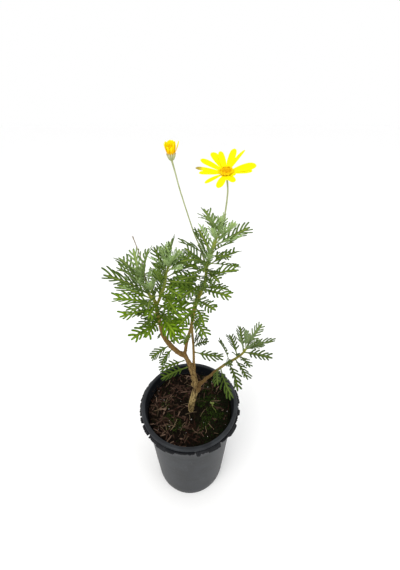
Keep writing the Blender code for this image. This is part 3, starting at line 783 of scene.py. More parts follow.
root_colour = finish.mix(finish.tone(0), (0.035, 0.020, 0.010), (0.17, 0.12, 0.07))
dress(rootlets, finish.show(root_colour, 0.8), "potting_soil", "soil")

# %% Soil: moss
moss_blanks = []
for seed, lean in ((81, 0.3), (82, -0.25), (83, 0.1)):
    sprig = new_piece(
        "sprig", bpy.ops.mesh.primitive_cone_add, vertices=4, radius1=0.42, radius2=0.08, depth=1,
        location=(0, 0, 0.5)
    )
    places = points_of(settle(sprig))
    places[:, 0] += lean * places[:, 2] ** 2
    set_points(sprig, places)
    moss_blanks.append(uneven(sprig, seed, 0.05))


def sprig_size(draw):
    width = draw.uniform(0.35, 0.6) * MM
    return Vector((width, width, draw.uniform(0.9, 2.1) * MM))


# Middle x and y of each patch and how far it reaches, in mm
MOSS_PATCHES = (
    (-18, -26, 9), (-27, -16, 6), (30, -11, 11), (20, -24, 9), (15, 5, 7), (31, 10, 8), (24, 26, 7),
    (-32, 3, 5)
)


def in_moss(x, y):
    """How likely moss grows at a point: sure inside the ragged patches, rare outside."""
    ragged = 1 + 0.9 * noise.noise(Vector((x * 120, y * 120, 21)))
    for middle_x, middle_y, reach in MOSS_PATCHES:
        if hypot(x - middle_x * MM, y - middle_y * MM) < reach * ragged * MM:
            return 1.0
    return 0.03


moss = strew(
    "soil_moss", moss_blanks, count=2400, seed=84, size_of=sprig_size, where=in_moss, sink=-0.1, tilt=20
)
finish = Finish("moss", Specular_IOR_Level=0.12)
moss_colour = finish.mix(finish.tone(0), (0.012, 0.028, 0.003), (0.055, 0.105, 0.010))
dress(moss, finish.show(moss_colour, 0.8), "potting_soil", "soil")

# %% [markdown]
# ## Stems as paths
# A stem is known by a few points, each with a radius, from its root end up: x, y, z and radius in
# millimetres. A curve that passes through all of them (a Catmull-Rom spline) fills in the rest.

# %% Stem points
MAIN_STEM = (
    (1.5, -5, 96, 4.5), (2, -5, 108, 4.3), (5, -6.5, 130, 3.9), (9, -8, 151, 3.9), (8.5, -7, 161, 3.5),
    (2, -2.5, 183, 3.0), (-6, 0, 201, 2.8)
)
LEFT_STEM = (
    (-4, -0.5, 197, 2.0), (-16, 1, 211, 2.2), (-26, 0, 228, 2.0), (-30.5, -3.5, 246, 1.9),
    (-33, -6, 266, 1.8), (-34, -7, 279, 1.7), (-40, -8, 290, 1.4), (-45, -8, 301, 1.0)
)
MIDDLE_STEM = (
    (-33.5, -6, 272, 1.3), (-29, -3, 283, 1.4), (-24, 0, 296, 1.3), (-22, 2, 308, 1.2), (-19, 3, 318, 1.0)
)
RIGHT_STEM = (
    (-5, 0, 198, 2.0), (-1.5, 2.5, 219, 1.9), (3, 3, 236, 1.8), (8.5, 4, 265, 1.8), (18.5, 4, 296, 1.7),
    (20.5, 4, 314, 1.6), (26.5, 4, 337, 1.4), (32, 4, 354, 1.2), (37, 4, 371, 0.9),
    (39.2, 3.5, 392, 0.85), (38.9, 4, 402, 0.9), (37.8, 3.1, 409, 1.0)
)
BACK_STEM = (
    (6, -4.5, 168, 1.5), (6, 1, 182, 1.4), (5.3, 8, 206, 1.3), (4, 12, 224, 1.3), (4, 15, 245, 1.2),
    (9, 17, 268, 0.9)
)
LOW_STEM = (
    (8, -7.5, 151, 2.1), (19, -12, 172, 2.0), (33, -18, 195, 1.9), (42, -21.5, 208, 1.7),
    (52, -24, 218, 1.5), (59.5, -26, 228, 1.3), (64, -27, 238, 1.0)
)
BUD_STALK = (
    (20, 4, 310, 1.2), (18, 5, 322, 1.1), (13, 6.5, 338, 0.9), (6.4, 8, 355, 0.85), (-4.8, 6.5, 394, 0.8),
    (-8.9, 6, 411, 0.8), (-12, 5, 424, 1.0)
)
DRY_STALK = ((-40.5, -8, 289, 1.0), (-43, -4, 304, 0.9), (-46, 0, 325, 0.8), (-53.6, 5, 348, 0.7))
LEFT_WOOD_END = 3
RIGHT_WOOD_END = 1
BACK_WOOD_END = 1
LOW_WOOD_END = 2
RIGHT_SHOOT_END = 7
STUB_END = 1
GAP = 0.3 * MM
COARSE = 2
FINE = 8


def smooth_path(stem, steps=COARSE):
    """Points, radii and directions along a curve through a stem's own points."""
    knots = [(Vector(point[:3]) * MM, point[3] * MM) for point in stem]
    padded = [knots[0], *knots, knots[-1]]
    samples = []
    for index in range(1, len(padded) - 2):
        before, start, end, after = padded[index - 1 : index + 3]
        for step in range(steps):
            share = step / steps
            place = 0.5 * (
                2 * start[0]
                + (end[0] - before[0]) * share
                + (2 * before[0] - 5 * start[0] + 4 * end[0] - after[0]) * share**2
                + (3 * start[0] - before[0] - 3 * end[0] + after[0]) * share**3
            )
            samples.append((place, start[1] + (end[1] - start[1]) * share))
    samples.append(knots[-1])
    path = []
    for index, (place, radius) in enumerate(samples):
        ahead = samples[min(index + 1, len(samples) - 1)][0]
        behind = samples[max(index - 1, 0)][0]
        path.append((place, radius, (ahead - behind).normalized()))
    return path


def cut_path(path, knot):
    """A coarse path up to one of the stem's own points, and the rest, a small gap further on."""
    index = knot * COARSE
    place, radius, direction = path[index]
    return path[: index + 1], [(place + direction * GAP, radius, direction), *path[index + 1 :]]


def point_along(path, share):
    """The point at this share of the path's length."""
    steps = [(b[0] - a[0]).length for a, b in zip(path, path[1:])]
    left = share * sum(steps)
    for step, (start, end) in zip(steps, zip(path, path[1:])):
        if left <= step:
            return start[0].lerp(end[0], left / step)
        left -= step
    return path[-1][0].copy()


for name, stem in (("main", MAIN_STEM), ("left", LEFT_STEM), ("right", RIGHT_STEM), ("low", LOW_STEM)):
    line = smooth_path(stem)
    print(name, "stem", round(sum((b[0] - a[0]).length for a, b in zip(line, line[1:])) / MM), "mm long")

# %% [markdown]
# ## Where each leaf goes
# The leaves spiral up each stem: a row gives the share of the stem where a leaf starts, its bearing, how
# steeply it rises, and its length in millimetres. Set exactly so, some would cut through others, so each
# leaf is first tried as a coarse stand-in, and turned a little until it is clear of all that is there.

# %% Leaf rows
LEFT_LEAVES = (
    (0.03, 237, 8, 45), (0.09, 303, 2, 43), (0.20, 262, 4, 38), (0.28, 318, -4, 44), (0.33, 298, 2, 44),
    (0.37, 222, 20, 46), (0.45, 350, 2, 42), (0.50, 209, 28, 47), (0.55, 310, 6, 46), (0.58, 243, 16, 42),
    (0.64, 163, 8, 47), (0.68, 268, 20, 40), (0.72, 340, 8, 42), (0.80, 206, 40, 52), (0.86, 222, 52, 48),
    (0.90, 142, 30, 48), (0.95, 127, 41, 45), (0.98, 320, 78, 47)
)
MIDDLE_LEAVES = (
    (0.10, 262, 12, 38), (0.35, 300, 8, 38), (0.45, 335, 22, 38), (0.50, 300, 14, 36),
    (0.57, 140, -5, 37), (0.62, 352, 5, 36), (0.70, 20, 10, 36), (0.72, 165, 66, 35), (0.77, 105, 24, 38),
    (0.82, 14, 34, 35), (0.88, 55, 24, 36), (0.96, 320, 78, 36)
)
RIGHT_LEAVES = (
    (0.06, 262, 23, 36), (0.16, 160, -18, 39), (0.22, 289, 6, 39), (0.30, 245, 12, 40),
    (0.36, 176, -6, 40), (0.40, 297, 16, 38), (0.45, 220, 20, 40), (0.48, 160, 2, 40),
    (0.50, 318, 15, 41), (0.53, 350, -2, 28), (0.56, 235, 4, 41), (0.58, 155, -5, 41),
    (0.61, 328, 28, 42), (0.63, 226, 16, 41), (0.66, 288, 17, 41), (0.67, 176, 10, 40),
    (0.70, 136, 12, 41), (0.72, 35, 5, 45), (0.75, 229, 24, 42), (0.76, 226, 62, 42), (0.78, 212, 42, 42),
    (0.83, 114, 13, 43), (0.83, 304, 34, 40), (0.88, 23, 16, 47), (0.96, 114, 26, 43),
    (0.98, 283, 48, 43), (0.33, 285, 5, 36), (0.94, 26, 64, 24)
)
BACK_LEAVES = ((0.18, 328, 3, 38), (0.25, 313, 43, 30), (0.50, 70, -10, 34), (0.96, 63, 20, 29))
LOW_LEAVES = (
    (0.02, 263, 18, 34), (0.12, 276, -8, 41), (0.36, 288, -2, 39), (0.40, 102, -6, 37),
    (0.54, 285, 12, 37), (0.62, 95, -5, 37), (0.68, 287, 23, 30), (0.80, 312, 22, 36), (0.82, 91, 4, 36),
    (0.92, 331, 38, 37), (0.96, 53, 12, 36), (0.99, 258, 62, 34)
)
BARK_LEAVES = (
    ("bark_leaf_upper", LEFT_STEM[:4], 0.38, 192, -40, 32),
    ("bark_leaf_middle", MAIN_STEM, 0.91, 209, 10, 33), ("bark_leaf_low", MAIN_STEM, 0.82, 213, -2, 35),
    ("bark_leaf_upper", LEFT_STEM[:4], 0.30, 203, -55, 28),
    ("bark_leaf_upper", LEFT_STEM[:4], 0.78, 166, -66, 16)
)
# Node, points, the knot where the wood ends, leaves, how far lobes reach, and bend at foot and at tip
LEAFY_STEMS = (
    ("left_shoot", LEFT_STEM, LEFT_WOOD_END, LEFT_LEAVES, 0.21, (20, 25)),
    ("right_shoot", RIGHT_STEM[: RIGHT_SHOOT_END + 1], RIGHT_WOOD_END, RIGHT_LEAVES, 0.2, (25, 20)),
    ("left_shoot", MIDDLE_STEM, 0, MIDDLE_LEAVES, 0.21, (20, 15)),
    ("low_right_shoot", LOW_STEM, LOW_WOOD_END, LOW_LEAVES, 0.17, (20, 15)),
    ("back_shoot", BACK_STEM, BACK_WOOD_END, BACK_LEAVES, 0.18, (30, 20))
)
print(sum(len(stem[3]) for stem in LEAFY_STEMS), "leaf rows on", len(LEAFY_STEMS), "stems")

# %% Stand-in leaf
BLADE_THICKNESS = 0.7 * MM
RIB_HALF_WIDTH = 0.75 * MM
PETIOLE_SHARE = 0.27
LOBE_ANGLE = radians(46)
LOBE_ANGLE_LOSS = 0.25
LOBED_TO = 0.93
LOBE_TIP_WIDTH = 1.5 * MM
LEAF_FOLD = 0.25


def lobe_measures(length, lobe_reach, share):
    """A lobe's angle and reach, from the lowest pair at share 0 to the highest at 1."""
    fullness = 0.62 + 0.38 * sin(pi * (0.1 + 0.8 * share))
    return LOBE_ANGLE - LOBE_ANGLE_LOSS * share, length * lobe_reach * fullness


def leaf_outline(length, pairs, lobe_reach):
    """One half of a flat leaf: the points of its rib, and the two corners of each lobe's end."""
    start = PETIOLE_SHARE * length
    pitch = (LOBED_TO * length - start) / pairs
    rib = [(0.0, RIB_HALF_WIDTH)]
    rib += [(start + pitch * pair, RIB_HALF_WIDTH) for pair in range(pairs + 1)]
    lobes = []
    for pair in range(pairs):
        angle, reach = lobe_measures(length, lobe_reach, pair / (pairs - 1))
        tip_along = start + pitch * (pair + 0.45) + reach * cos(angle)
        tip_across = RIB_HALF_WIDTH + reach * sin(angle)
        half = LOBE_TIP_WIDTH / 2
        outer = (tip_along - half * sin(angle), tip_across + half * cos(angle))
        inner = (tip_along + half * sin(angle), tip_across - half * cos(angle))
        lobes.append((outer, inner))
    return rib, lobes


def arched(along, across, lift, length, bend):
    """Where a point of a flat blade goes when the blade arches down along its length."""
    turn = bend * along / length
    centre_x = length * sin(turn) / bend
    centre_z = -length * (1 - cos(turn)) / bend
    return Vector((centre_x + lift * sin(turn), across, centre_z + lift * cos(turn)))


def stand_in_leaf(length, pairs, lobe_reach, bend, thickness):
    """One leaf with as few faces as will do to tell what it touches."""
    rib, lobes = leaf_outline(length, pairs, lobe_reach)
    first_lobe = len(rib) - 1 - pairs
    flat = []
    upper = []
    borders = []
    for side in (1, -1):
        first = len(flat)
        flat += [(along, side * across) for along, across in rib]
        tips = len(flat)
        flat += [(along, side * across) for pair in lobes for along, across in pair]
        end = len(flat)
        flat.append((length, side * LOBE_TIP_WIDTH * 0.45))
        border = [first]
        for pair in range(len(lobes)):
            low = first + first_lobe + pair
            outer = tips + 2 * pair
            inner = outer + 1
            halves = [(low, low + 1, inner), (low, inner, outer)]
            upper += halves if side == 1 else [tuple(reversed(half)) for half in halves]
            border += [low, outer, inner]
        borders.append([*border, first + len(rib) - 1, end])
    half_count = len(flat) // 2
    middle = [*range(len(rib)), half_count - 1]
    for low, high in zip(middle, middle[1:]):
        upper += [(low + half_count, high + half_count, high), (low + half_count, high, low)]
    points = []
    for face_side in (0.5, -0.5):
        for along, across in flat:
            lift = LEAF_FOLD * abs(across) + face_side * thickness
            points.append(arched(along, across, lift, length, bend))
    count = len(flat)
    rim = borders[1] + borders[0][::-1]
    faces = upper + [(c + count, b + count, a + count) for a, b, c in upper]
    for here, ahead in zip(rim, rim[1:] + rim[:1], strict=True):
        faces += [(here, here + count, ahead + count), (here, ahead + count, ahead)]
    return points, faces


def stand_in_stem(path, sides):
    """A closed tube with few sides along a path."""
    points = []
    across = path[0][2].orthogonal().normalized()
    for place, radius, direction in path:
        across = (across - direction * across.dot(direction)).normalized()
        beside = direction.cross(across)
        for side in range(sides):
            turn = tau * side / sides
            points.append(place + radius * (cos(turn) * across + sin(turn) * beside))
    faces = [tuple(reversed(range(sides)))]
    for ring in range(len(path) - 1):
        for side in range(sides):
            here = ring * sides + side
            beside = ring * sides + (side + 1) % sides
            faces.append((here, beside, beside + sides, here + sides))
    faces.append(tuple(range(len(points) - sides, len(points))))
    return points, faces


# %% [markdown]
# A leaf is clear when its stand-in, fattened by a small clearance, cuts no other. Its foot may touch what
# belongs to its own shoot, because it grows there. The thicket holds a search tree for each thing that
# stands already, so a try costs little.

# %% Finding room for a leaf
CLEARANCE = 0.5 * MM
TURNS_TRIED = tuple(radians(turn) for turn in (0, 8, -8, 16, -16, 26, -26, 38, -38))
RISES_TRIED = tuple(radians(lift) for lift in (0, 8, -8, 16, -16))
ROOT_SHARE = 0.22


def leaf_matrix(root, bearing, rise, roll):
    """Stands a leaf on its root point, pointing out along the bearing and up by the rise."""
    out = outward(bearing)
    along = out * cos(rise) + Vector((0, 0, sin(rise)))
    normal = Vector((0, 0, cos(rise))) - out * sin(rise)
    across = normal.cross(along)
    turned_frame = Matrix((along, across, normal)).transposed().to_4x4()
    return Matrix.Translation(root) @ turned_frame @ Matrix.Rotation(roll, 4, "X")


class Thicket:
    """What stands already, so that a new leaf can be turned until it is clear of it."""

    def __init__(self):
        self.trees = []

    def add(self, owner, points, faces):
        self.trees.append((owner, BVHTree.FromPolygons(points, faces)))

    def meets(self, owner, points, faces, outer_faces):
        whole = BVHTree.FromPolygons(points, faces)
        outer = BVHTree.FromPolygons(points, outer_faces)
        return any((outer if other == owner else whole).overlap(tree) for other, tree in self.trees)


def place_leaf(thicket, owner, root, aim, size):
    """The first clear pose near the one asked for, or nothing where there is no room."""
    bearing, rise, roll = aim
    length, pairs, lobe_reach, bend = size
    fat, faces = stand_in_leaf(length, pairs, lobe_reach, bend, BLADE_THICKNESS + 2 * CLEARANCE)
    outer_faces = [face for face in faces if min(fat[corner].x for corner in face) > ROOT_SHARE * length]
    for lift in RISES_TRIED:
        for turn in TURNS_TRIED:
            matrix = leaf_matrix(root, bearing + turn, rise + lift + bend / 2, roll)
            fat_points = [matrix @ point for point in fat]
            if not thicket.meets(owner, fat_points, faces, outer_faces):
                thicket.add(owner, fat_points, faces)
                return matrix
    return None


def standing_stems():
    """The coarse wood, shoots and stalks that no leaf may cross."""
    right_whole, flower_stalk = cut_path(smooth_path(RIGHT_STEM), RIGHT_SHOOT_END)
    right_wood, right = cut_path(right_whole, RIGHT_WOOD_END)
    left_wood, left = cut_path(smooth_path(LEFT_STEM), LEFT_WOOD_END)
    back_wood, back = cut_path(smooth_path(BACK_STEM), BACK_WOOD_END)
    low_wood, low = cut_path(smooth_path(LOW_STEM), LOW_WOOD_END)
    bud_stub, bud_stalk = cut_path(smooth_path(BUD_STALK), STUB_END)
    dry_stub, dry_stalk = cut_path(smooth_path(DRY_STALK), STUB_END)
    barked = (
        (smooth_path(MAIN_STEM), 10), (left_wood, 8), (right_wood, 8), (back_wood, 8), (low_wood, 8)
    )
    green = (
        ("left_shoot", left, 6), ("left_shoot", smooth_path(MIDDLE_STEM), 6), ("left_shoot", dry_stub, 6),
        ("right_shoot", right, 6), ("right_shoot", bud_stub, 6), ("back_shoot", back, 6),
        ("low_right_shoot", low, 6), ("flower_stalk", flower_stalk, 5), ("bud_stalk", bud_stalk, 5),
        ("dry_stalk", dry_stalk, 5)
    )
    thicket = Thicket()
    for path, sides in barked:
        thicket.add("woody_stem", *stand_in_stem(path, sides))
    for owner, path, sides in green:
        fattened = [(place, radius + CLEARANCE, direction) for place, radius, direction in path]
        thicket.add(owner, *stand_in_stem(fattened, sides))
    return thicket


thicket = standing_stems()
print(len(thicket.trees), "stretches of stem stand already")

# %% [markdown]
# Each row is set with a little chance in its bearing, rise and roll. Leaves near the tip of a shoot bend
# otherwise than those at its foot, and the longest have one pair of lobes more. The last few leaves sprout
# straight from old bark.

# %% Setting the leaves
LEAF_SEED = 11
BARK_LEAF_SEED = 21
BARK_LOBE_REACH = 0.19
BARK_LEAF_BEND = radians(25)
FEW_PAIRS = 5
MANY_PAIRS = 6
MANY_PAIRS_FROM = 46 * MM
LEAF_TWIST = radians(24)
BEARING_JITTER = radians(3)
RISE_JITTER = radians(3)
ROLL_JITTER = radians(12)
set_leaves = []
for seed, (owner, stem, wood_end, rows, lobe_reach, bends) in enumerate(LEAFY_STEMS, LEAF_SEED):
    path = smooth_path(stem)[wood_end * COARSE :]
    draw = random.Random(seed)
    for share, bearing, rise, length in rows:
        turn = radians(bearing)
        aim = (
            turn + draw.uniform(-BEARING_JITTER, BEARING_JITTER),
            radians(rise) + draw.uniform(-RISE_JITTER, RISE_JITTER),
            LEAF_TWIST * cos(turn) + draw.uniform(-ROLL_JITTER, ROLL_JITTER)
        )
        pairs = MANY_PAIRS if length * MM > MANY_PAIRS_FROM else FEW_PAIRS
        bend = radians(bends[0] + (bends[1] - bends[0]) * share) * draw.uniform(0.6, 1.4)
        size = (length * MM, pairs, lobe_reach, bend)
        matrix = place_leaf(thicket, owner, point_along(path, share), aim, size)
        if matrix:
            set_leaves.append((owner, stem, share, matrix, size))
draw = random.Random(BARK_LEAF_SEED)
for owner, stem, share, bearing, rise, length in BARK_LEAVES:
    path = smooth_path(stem)
    turn = radians(bearing)
    root = point_along(path, share)
    radius = min(path, key=lambda sample: (sample[0] - root).length)[1]
    root += outward(turn) * (radius + 2 * GAP)
    roll = LEAF_TWIST * cos(turn) + draw.uniform(-ROLL_JITTER, ROLL_JITTER)
    size = (length * MM, FEW_PAIRS, BARK_LOBE_REACH, BARK_LEAF_BEND)
    matrix = place_leaf(thicket, owner, root, (turn, radians(rise), roll), size)
    if matrix is None:
        matrix = leaf_matrix(root, turn, radians(rise) + BARK_LEAF_BEND / 2, roll)
    set_leaves.append((owner, stem, share, matrix, size))
print(len(set_leaves), "leaves are set")

# %% [markdown]
# ## Young leaves
# Each shoot ends in a bunch of young leaves, short, steep and nearly white with felt, and one more bunch
# starts beside the upper leaves of the right shoot. A bunch leans with its shoot: its leaves stand round
# that axis in a spiral of the golden angle, the outer ones wide of it and the inner ones nearly along it.
# Those that would lie too flat are left out. In the thick of a bunch young leaves do touch, so there one
# may keep its first aim.

# %% Setting the young leaves
GOLDEN_ANGLE = radians(137.5)
RIGHT_SHOOT = RIGHT_STEM[: RIGHT_SHOOT_END + 1]
# Owner, stem, shares of the stem, leaves, how far the bunch leans along x and y, and the longest leaf
YOUNG = (
    ("left_shoot", LEFT_STEM, (0.88, 1.0), 12, (-0.45, 0.05), 34),
    ("left_shoot", MIDDLE_STEM, (0.88, 1.0), 10, (0.22, -0.10), 33),
    ("right_shoot", RIGHT_SHOOT, (0.90, 1.0), 10, (0.28, -0.20), 34),
    ("right_shoot", RIGHT_SHOOT, (0.75, 0.79), 6, (-0.42, -0.30), 31),
    ("low_right_shoot", LOW_STEM, (0.91, 1.0), 7, (0.55, -0.15), 26),
    ("back_shoot", BACK_STEM, (0.90, 1.0), 6, (0.30, 0.10), 26)
)
YOUNG_SEED = 91
YOUNG_LOBE_REACH = 0.18
SHORTER_INSIDE = 13
THICK_FROM = 0.4
FLATTEST_YOUNG = radians(20)
draw = random.Random(YOUNG_SEED)
young_leaves = []
for owner, stem, (first, last), count, way, longest in YOUNG:
    path = smooth_path(stem)
    lean = Vector((*way, 1)).normalized()
    beside = lean.orthogonal().normalized()
    for number in range(count):
        part = (number + 0.5) / count
        share = first + (last - first) * part
        spread = radians(56 - 40 * part) + draw.uniform(-0.12, 0.12)
        out = Matrix.Rotation(GOLDEN_ANGLE * number + draw.uniform(-0.2, 0.2), 3, lean) @ beside
        along = lean * cos(spread) + out * sin(spread)
        aim = (atan2(along.y, along.x), asin(along.z), draw.uniform(-0.3, 0.3))
        length = (longest - SHORTER_INSIDE * part) * MM
        size = (length, FEW_PAIRS, YOUNG_LOBE_REACH, radians(draw.uniform(-22, 8)))
        root = point_along(path, share)
        if aim[1] < FLATTEST_YOUNG:
            continue
        matrix = place_leaf(thicket, owner, root, aim, size)
        if matrix is None and part > THICK_FROM:
            matrix = leaf_matrix(root, aim[0], aim[1] + size[3] / 2, aim[2])
        if matrix:
            young_leaves.append((owner, stem, share, matrix, size))
print(len(young_leaves), "young leaves are set")

# %% [markdown]
# ## Leaves in between
# Between the larger leaves there are smaller ones, which close the gaps in front of the stems. They have
# rows of their own, with shares of the whole stem, and they are only set where there is room.

# %% Setting the leaves in between
BETWEEN_SEED = 95
BETWEEN_LOBE_REACH = 0.2
MIDDLE_BETWEEN = ((0.15, 107, 44, 28), (0.35, 189, 80, 30), (0.45, 231, 64, 34), (0.50, 112, 30, 32))
LEFT_BETWEEN = (
    (0.78, 106, 35, 26), (0.85, 322, 62, 26), (0.65, 268, 24, 38), (0.70, 284, 6, 38),
    (0.62, 255, 34, 36), (0.75, 276, 30, 34), (0.45, 268, 8, 26), (0.88, 250, 40, 30),
    (0.56, 285, 30, 30), (0.74, 250, 52, 26), (0.80, 290, 48, 28), (0.92, 285, 30, 24)
)
RIGHT_BETWEEN = (
    (0.50, 262, 22, 34), (0.62, 268, 18, 34), (0.775, 16, -15, 36), (0.83, 316, 20, 29),
    (0.67, 20, -58, 26), (0.81, 230, 17, 30), (0.757, 241, 6, 30), (0.69, 241, -5, 28), (0.74, 300, 14, 26)
)
IN_BETWEEN = (
    ("left_shoot", MIDDLE_STEM, MIDDLE_BETWEEN), ("left_shoot", LEFT_STEM, LEFT_BETWEEN),
    ("right_shoot", RIGHT_SHOOT, RIGHT_BETWEEN), ("left_shoot", MIDDLE_STEM, ((0.72, 233, 52, 30),)),
    ("back_shoot", BACK_STEM, ((0.38, 8, 70, 20),)),
    ("low_right_shoot", LOW_STEM, ((0.62, 285, 40, 24), (0.80, 250, 50, 24)))
)
draw = random.Random(BETWEEN_SEED)
for owner, stem, rows in IN_BETWEEN:
    for share, bearing, rise, length in rows:
        aim = (radians(bearing), radians(rise), draw.uniform(-0.4, 0.4))
        size = (length * MM, FEW_PAIRS, BETWEEN_LOBE_REACH, radians(draw.uniform(5, 25)))
        matrix = place_leaf(thicket, owner, point_along(smooth_path(stem), share), aim, size)
        if matrix:
            set_leaves.append((owner, stem, share, matrix, size))
print(len(set_leaves), "leaves with the smaller ones")

# %% [markdown]
# ## Leaf
# The leaf is cut almost to its rib into narrow, blunt lobes that lean forward, so it looks like a comb.
# That is how it is modelled: a flat comb of square faces, with a rib two faces wide and each lobe
# extruded outwards from the rib's edge. The squares are only a map. A copy of the comb for each leaf is
# then laid out with that leaf's own length, and with chance in each lobe's reach, lean and lift.

# %% Leaf: the comb
PETIOLE_STEPS = 4
PAIR_STEPS = 3
TIP_STEPS = 3
LOBE_STEPS = 4


def leaf_comb(pairs):
    """A flat comb of unit squares with this many pairs of lobes."""
    comb = new_piece("comb", bpy.ops.mesh.primitive_grid_add, x_subdivisions=1, y_subdivisions=2, size=2)
    edit(comb)
    bpy.ops.transform.resize(value=(0.5, 1, 1), center_override=(-1, 0, 0))
    bpy.ops.transform.translate(value=(1, 0, 0))
    steps = PETIOLE_STEPS + PAIR_STEPS * pairs + TIP_STEPS
    pick(comb, "EDGE", lambda edge: all(vert.co.x > 0.5 for vert in edge.verts))
    for step in range(1, steps):
        bpy.ops.mesh.extrude_edges_move(TRANSFORM_OT_translate={"value": (1, 0, 0)})

    def carries_lobe(edge, side):
        low, high = sorted(vert.co.x for vert in edge.verts)
        at_rim = all(abs(vert.co.y - side) < 0.1 for vert in edge.verts)
        step = round(low) - PETIOLE_STEPS
        return at_rim and high - low > 0.5 and 0 <= step < PAIR_STEPS * pairs and step % PAIR_STEPS < 2

    for side in (1, -1):
        pick(comb, "EDGE", lambda edge: carries_lobe(edge, side))
        for step in range(LOBE_STEPS):
            bpy.ops.mesh.extrude_edges_move(TRANSFORM_OT_translate={"value": (0, side, 0)})
    done(comb)
    if comb.data.polygons[0].normal.z < 0:
        comb.data.flip_normals()
    print("comb of", pairs, "pairs:", len(comb.data.polygons), "faces")
    return comb


combs = {pairs: leaf_comb(pairs) for pairs in (FEW_PAIRS, MANY_PAIRS)}

# %% Leaf: laid out from the comb
LOBE_FOOT = (0.05, 0.34, 0.63)
LOBE_SHARES = (0.2, 0.5, 0.82, 1.0)
LOBE_WIDTHS = (1.10, 0.96, 1.02, 0.78)
LOBE_HALF_WIDTH = 1.0 * MM
LOBE_SLICES = 6
SLIM_WHEN_YOUNG = 0.86
LOBE_FULLER = 1.2
LEAN_AT_FOOT = 0.12
LEAN_AT_END = -0.26
RIB_WIDTHS = (1.5, 0.86, 0.72, 0.85)
TIP_WIDTHS = (1.15, 1.2, 1.1, 0.6)
RIB_FULL = 1.45
FULL_LENGTH = 42 * MM


def lobe_line(reach, first_angle, last_angle, share):
    """Along and across at a share of a lobe whose lean changes evenly along it."""
    along = across = 0.0
    change = (last_angle - first_angle) * share
    for part in range(LOBE_SLICES):
        angle = first_angle + change * (part + 0.5) / LOBE_SLICES
        along += reach * share / LOBE_SLICES * cos(angle)
        across += reach * share / LOBE_SLICES * sin(angle)
    return along, across, first_angle + change


def lay_out(size, draw, plump):
    """A comb with one leaf's measures; its points keep along, out along the lobe, and across."""
    length, pairs, lobe_reach, bend = size
    start = PETIOLE_SHARE * length
    pitch = (LOBED_TO * length - start) / pairs
    slim = (length / FULL_LENGTH) ** 0.5
    marks = list(np.linspace(0, start, PETIOLE_STEPS + 1)[:-1])
    marks += [start + pitch * (pair + foot) for pair in range(pairs) for foot in LOBE_FOOT]
    marks += list(np.linspace(start + pitch * pairs, length, TIP_STEPS + 1))
    widths = [*RIB_WIDTHS, *[RIB_FULL] * (PAIR_STEPS * pairs), *TIP_WIDTHS]
    bow = draw.uniform(-0.07, 0.07)
    twist = draw.uniform(-0.4, 0.4)
    fold = LEAF_FOLD * draw.uniform(1.1, 2.1)
    habits = {}
    for pair in range(pairs):
        for side in (1, -1):
            reach_habit = LOBE_FULLER * draw.uniform(0.8, 1.15)
            habits[pair, side] = (reach_habit, draw.uniform(-0.13, 0.13), draw.uniform(-0.22, 0.22))
    leaf = copy_of(combs[pairs])
    places = points_of(leaf)
    map_values = np.zeros((len(places), 3))
    for index, (x, y, z) in enumerate(places):
        station = round(x)
        side = 1 if y > 0 else -1
        if abs(y) < 1.5:
            along = marks[station]
            across = y * widths[station] * slim * MM
            lift = fold * abs(across) * 0.6
            tip = max(0.0, (along / length - 0.93) / 0.07)
            map_values[index] = (along / length, tip, abs(y))
            if station == len(marks) - 1 and abs(y) < 0.5:
                along += 0.5 * MM * slim
        else:
            pair = (station - PETIOLE_STEPS) // PAIR_STEPS
            part = (station - PETIOLE_STEPS) % PAIR_STEPS - 1
            step = round(abs(y)) - 2
            share = LOBE_SHARES[step]
            angle, reach = lobe_measures(length, lobe_reach, pair / (pairs - 1))
            reach_habit, lean_habit, lift_habit = habits[pair, side]
            out_share = share + (0.09 if step == LOBE_STEPS - 1 and part == 0 else 0.0)
            lean = angle + lean_habit
            lobe = lobe_line(reach * reach_habit, lean + LEAN_AT_FOOT, lean + LEAN_AT_END, out_share)
            half = LOBE_HALF_WIDTH * LOBE_WIDTHS[step] * slim * plump * part
            along = marks[PETIOLE_STEPS + PAIR_STEPS * pair + 1] + lobe[0] + half * sin(lobe[2])
            across = side * (RIB_FULL * slim * MM + lobe[1] - half * cos(lobe[2]))
            out = reach * share
            lift = fold * abs(across) + lift_habit * out - 0.006 / MM * out**2
            map_values[index] = (along / length, share, abs(part))
            lift += 0.12 * MM * abs(part)
        reached = along / length
        across += bow * length * reached**2
        turn = twist * reached
        turned_lift = lift * cos(turn) + across * sin(turn)
        across = across * cos(turn) - lift * sin(turn)
        places[index] = arched(along, across, turned_lift, length, bend)
    set_points(leaf, places)
    tint(leaf, map_values, "blade")
    return leaf


# %% [markdown]
# Felt thins with age, so each leaf keeps its own paleness, from the share of the stem where it stands. All
# leaves of a shoot are joined first and then get their thickness in one go: a keel under the rib, a groove
# above it, and one round of subdivision for soft edges.

# %% Leaf: foliage of each shoot
LEAF_SHEET = 0.5 * MM
RIB_KEEL = 0.42 * MM
RIB_GROOVE = 0.16 * MM


def fleshed(piece):
    """Gives flat blades their thickness, a keel under the rib, a groove above it, and round edges."""
    count = len(piece.data.vertices)
    apply(piece, "SOLIDIFY", thickness=LEAF_SHEET, offset=0)
    tone = kept_by(piece, "tone")
    tone[count:, 2] = 1
    tint(piece, tone)
    blade = kept_by(piece, "blade")
    middle = (1 - blade[:, 2]) * (1 - blade[:, 1])
    push_out(piece, np.where(np.arange(len(middle)) < count, -RIB_GROOVE, RIB_KEEL) * middle)
    rounder(piece, 1)
    return shade(piece)


LEAF_LOOKS_SEED = 101
AGES = {
    "left_shoot": (0.22, 0.74), "right_shoot": (0.32, 0.74), "low_right_shoot": (0.35, 0.75),
    "back_shoot": (0.5, 0.8), "bark_leaf_upper": (0.15, 0.3), "bark_leaf_middle": (0.1, 0.25),
    "bark_leaf_low": (0.1, 0.2)
}
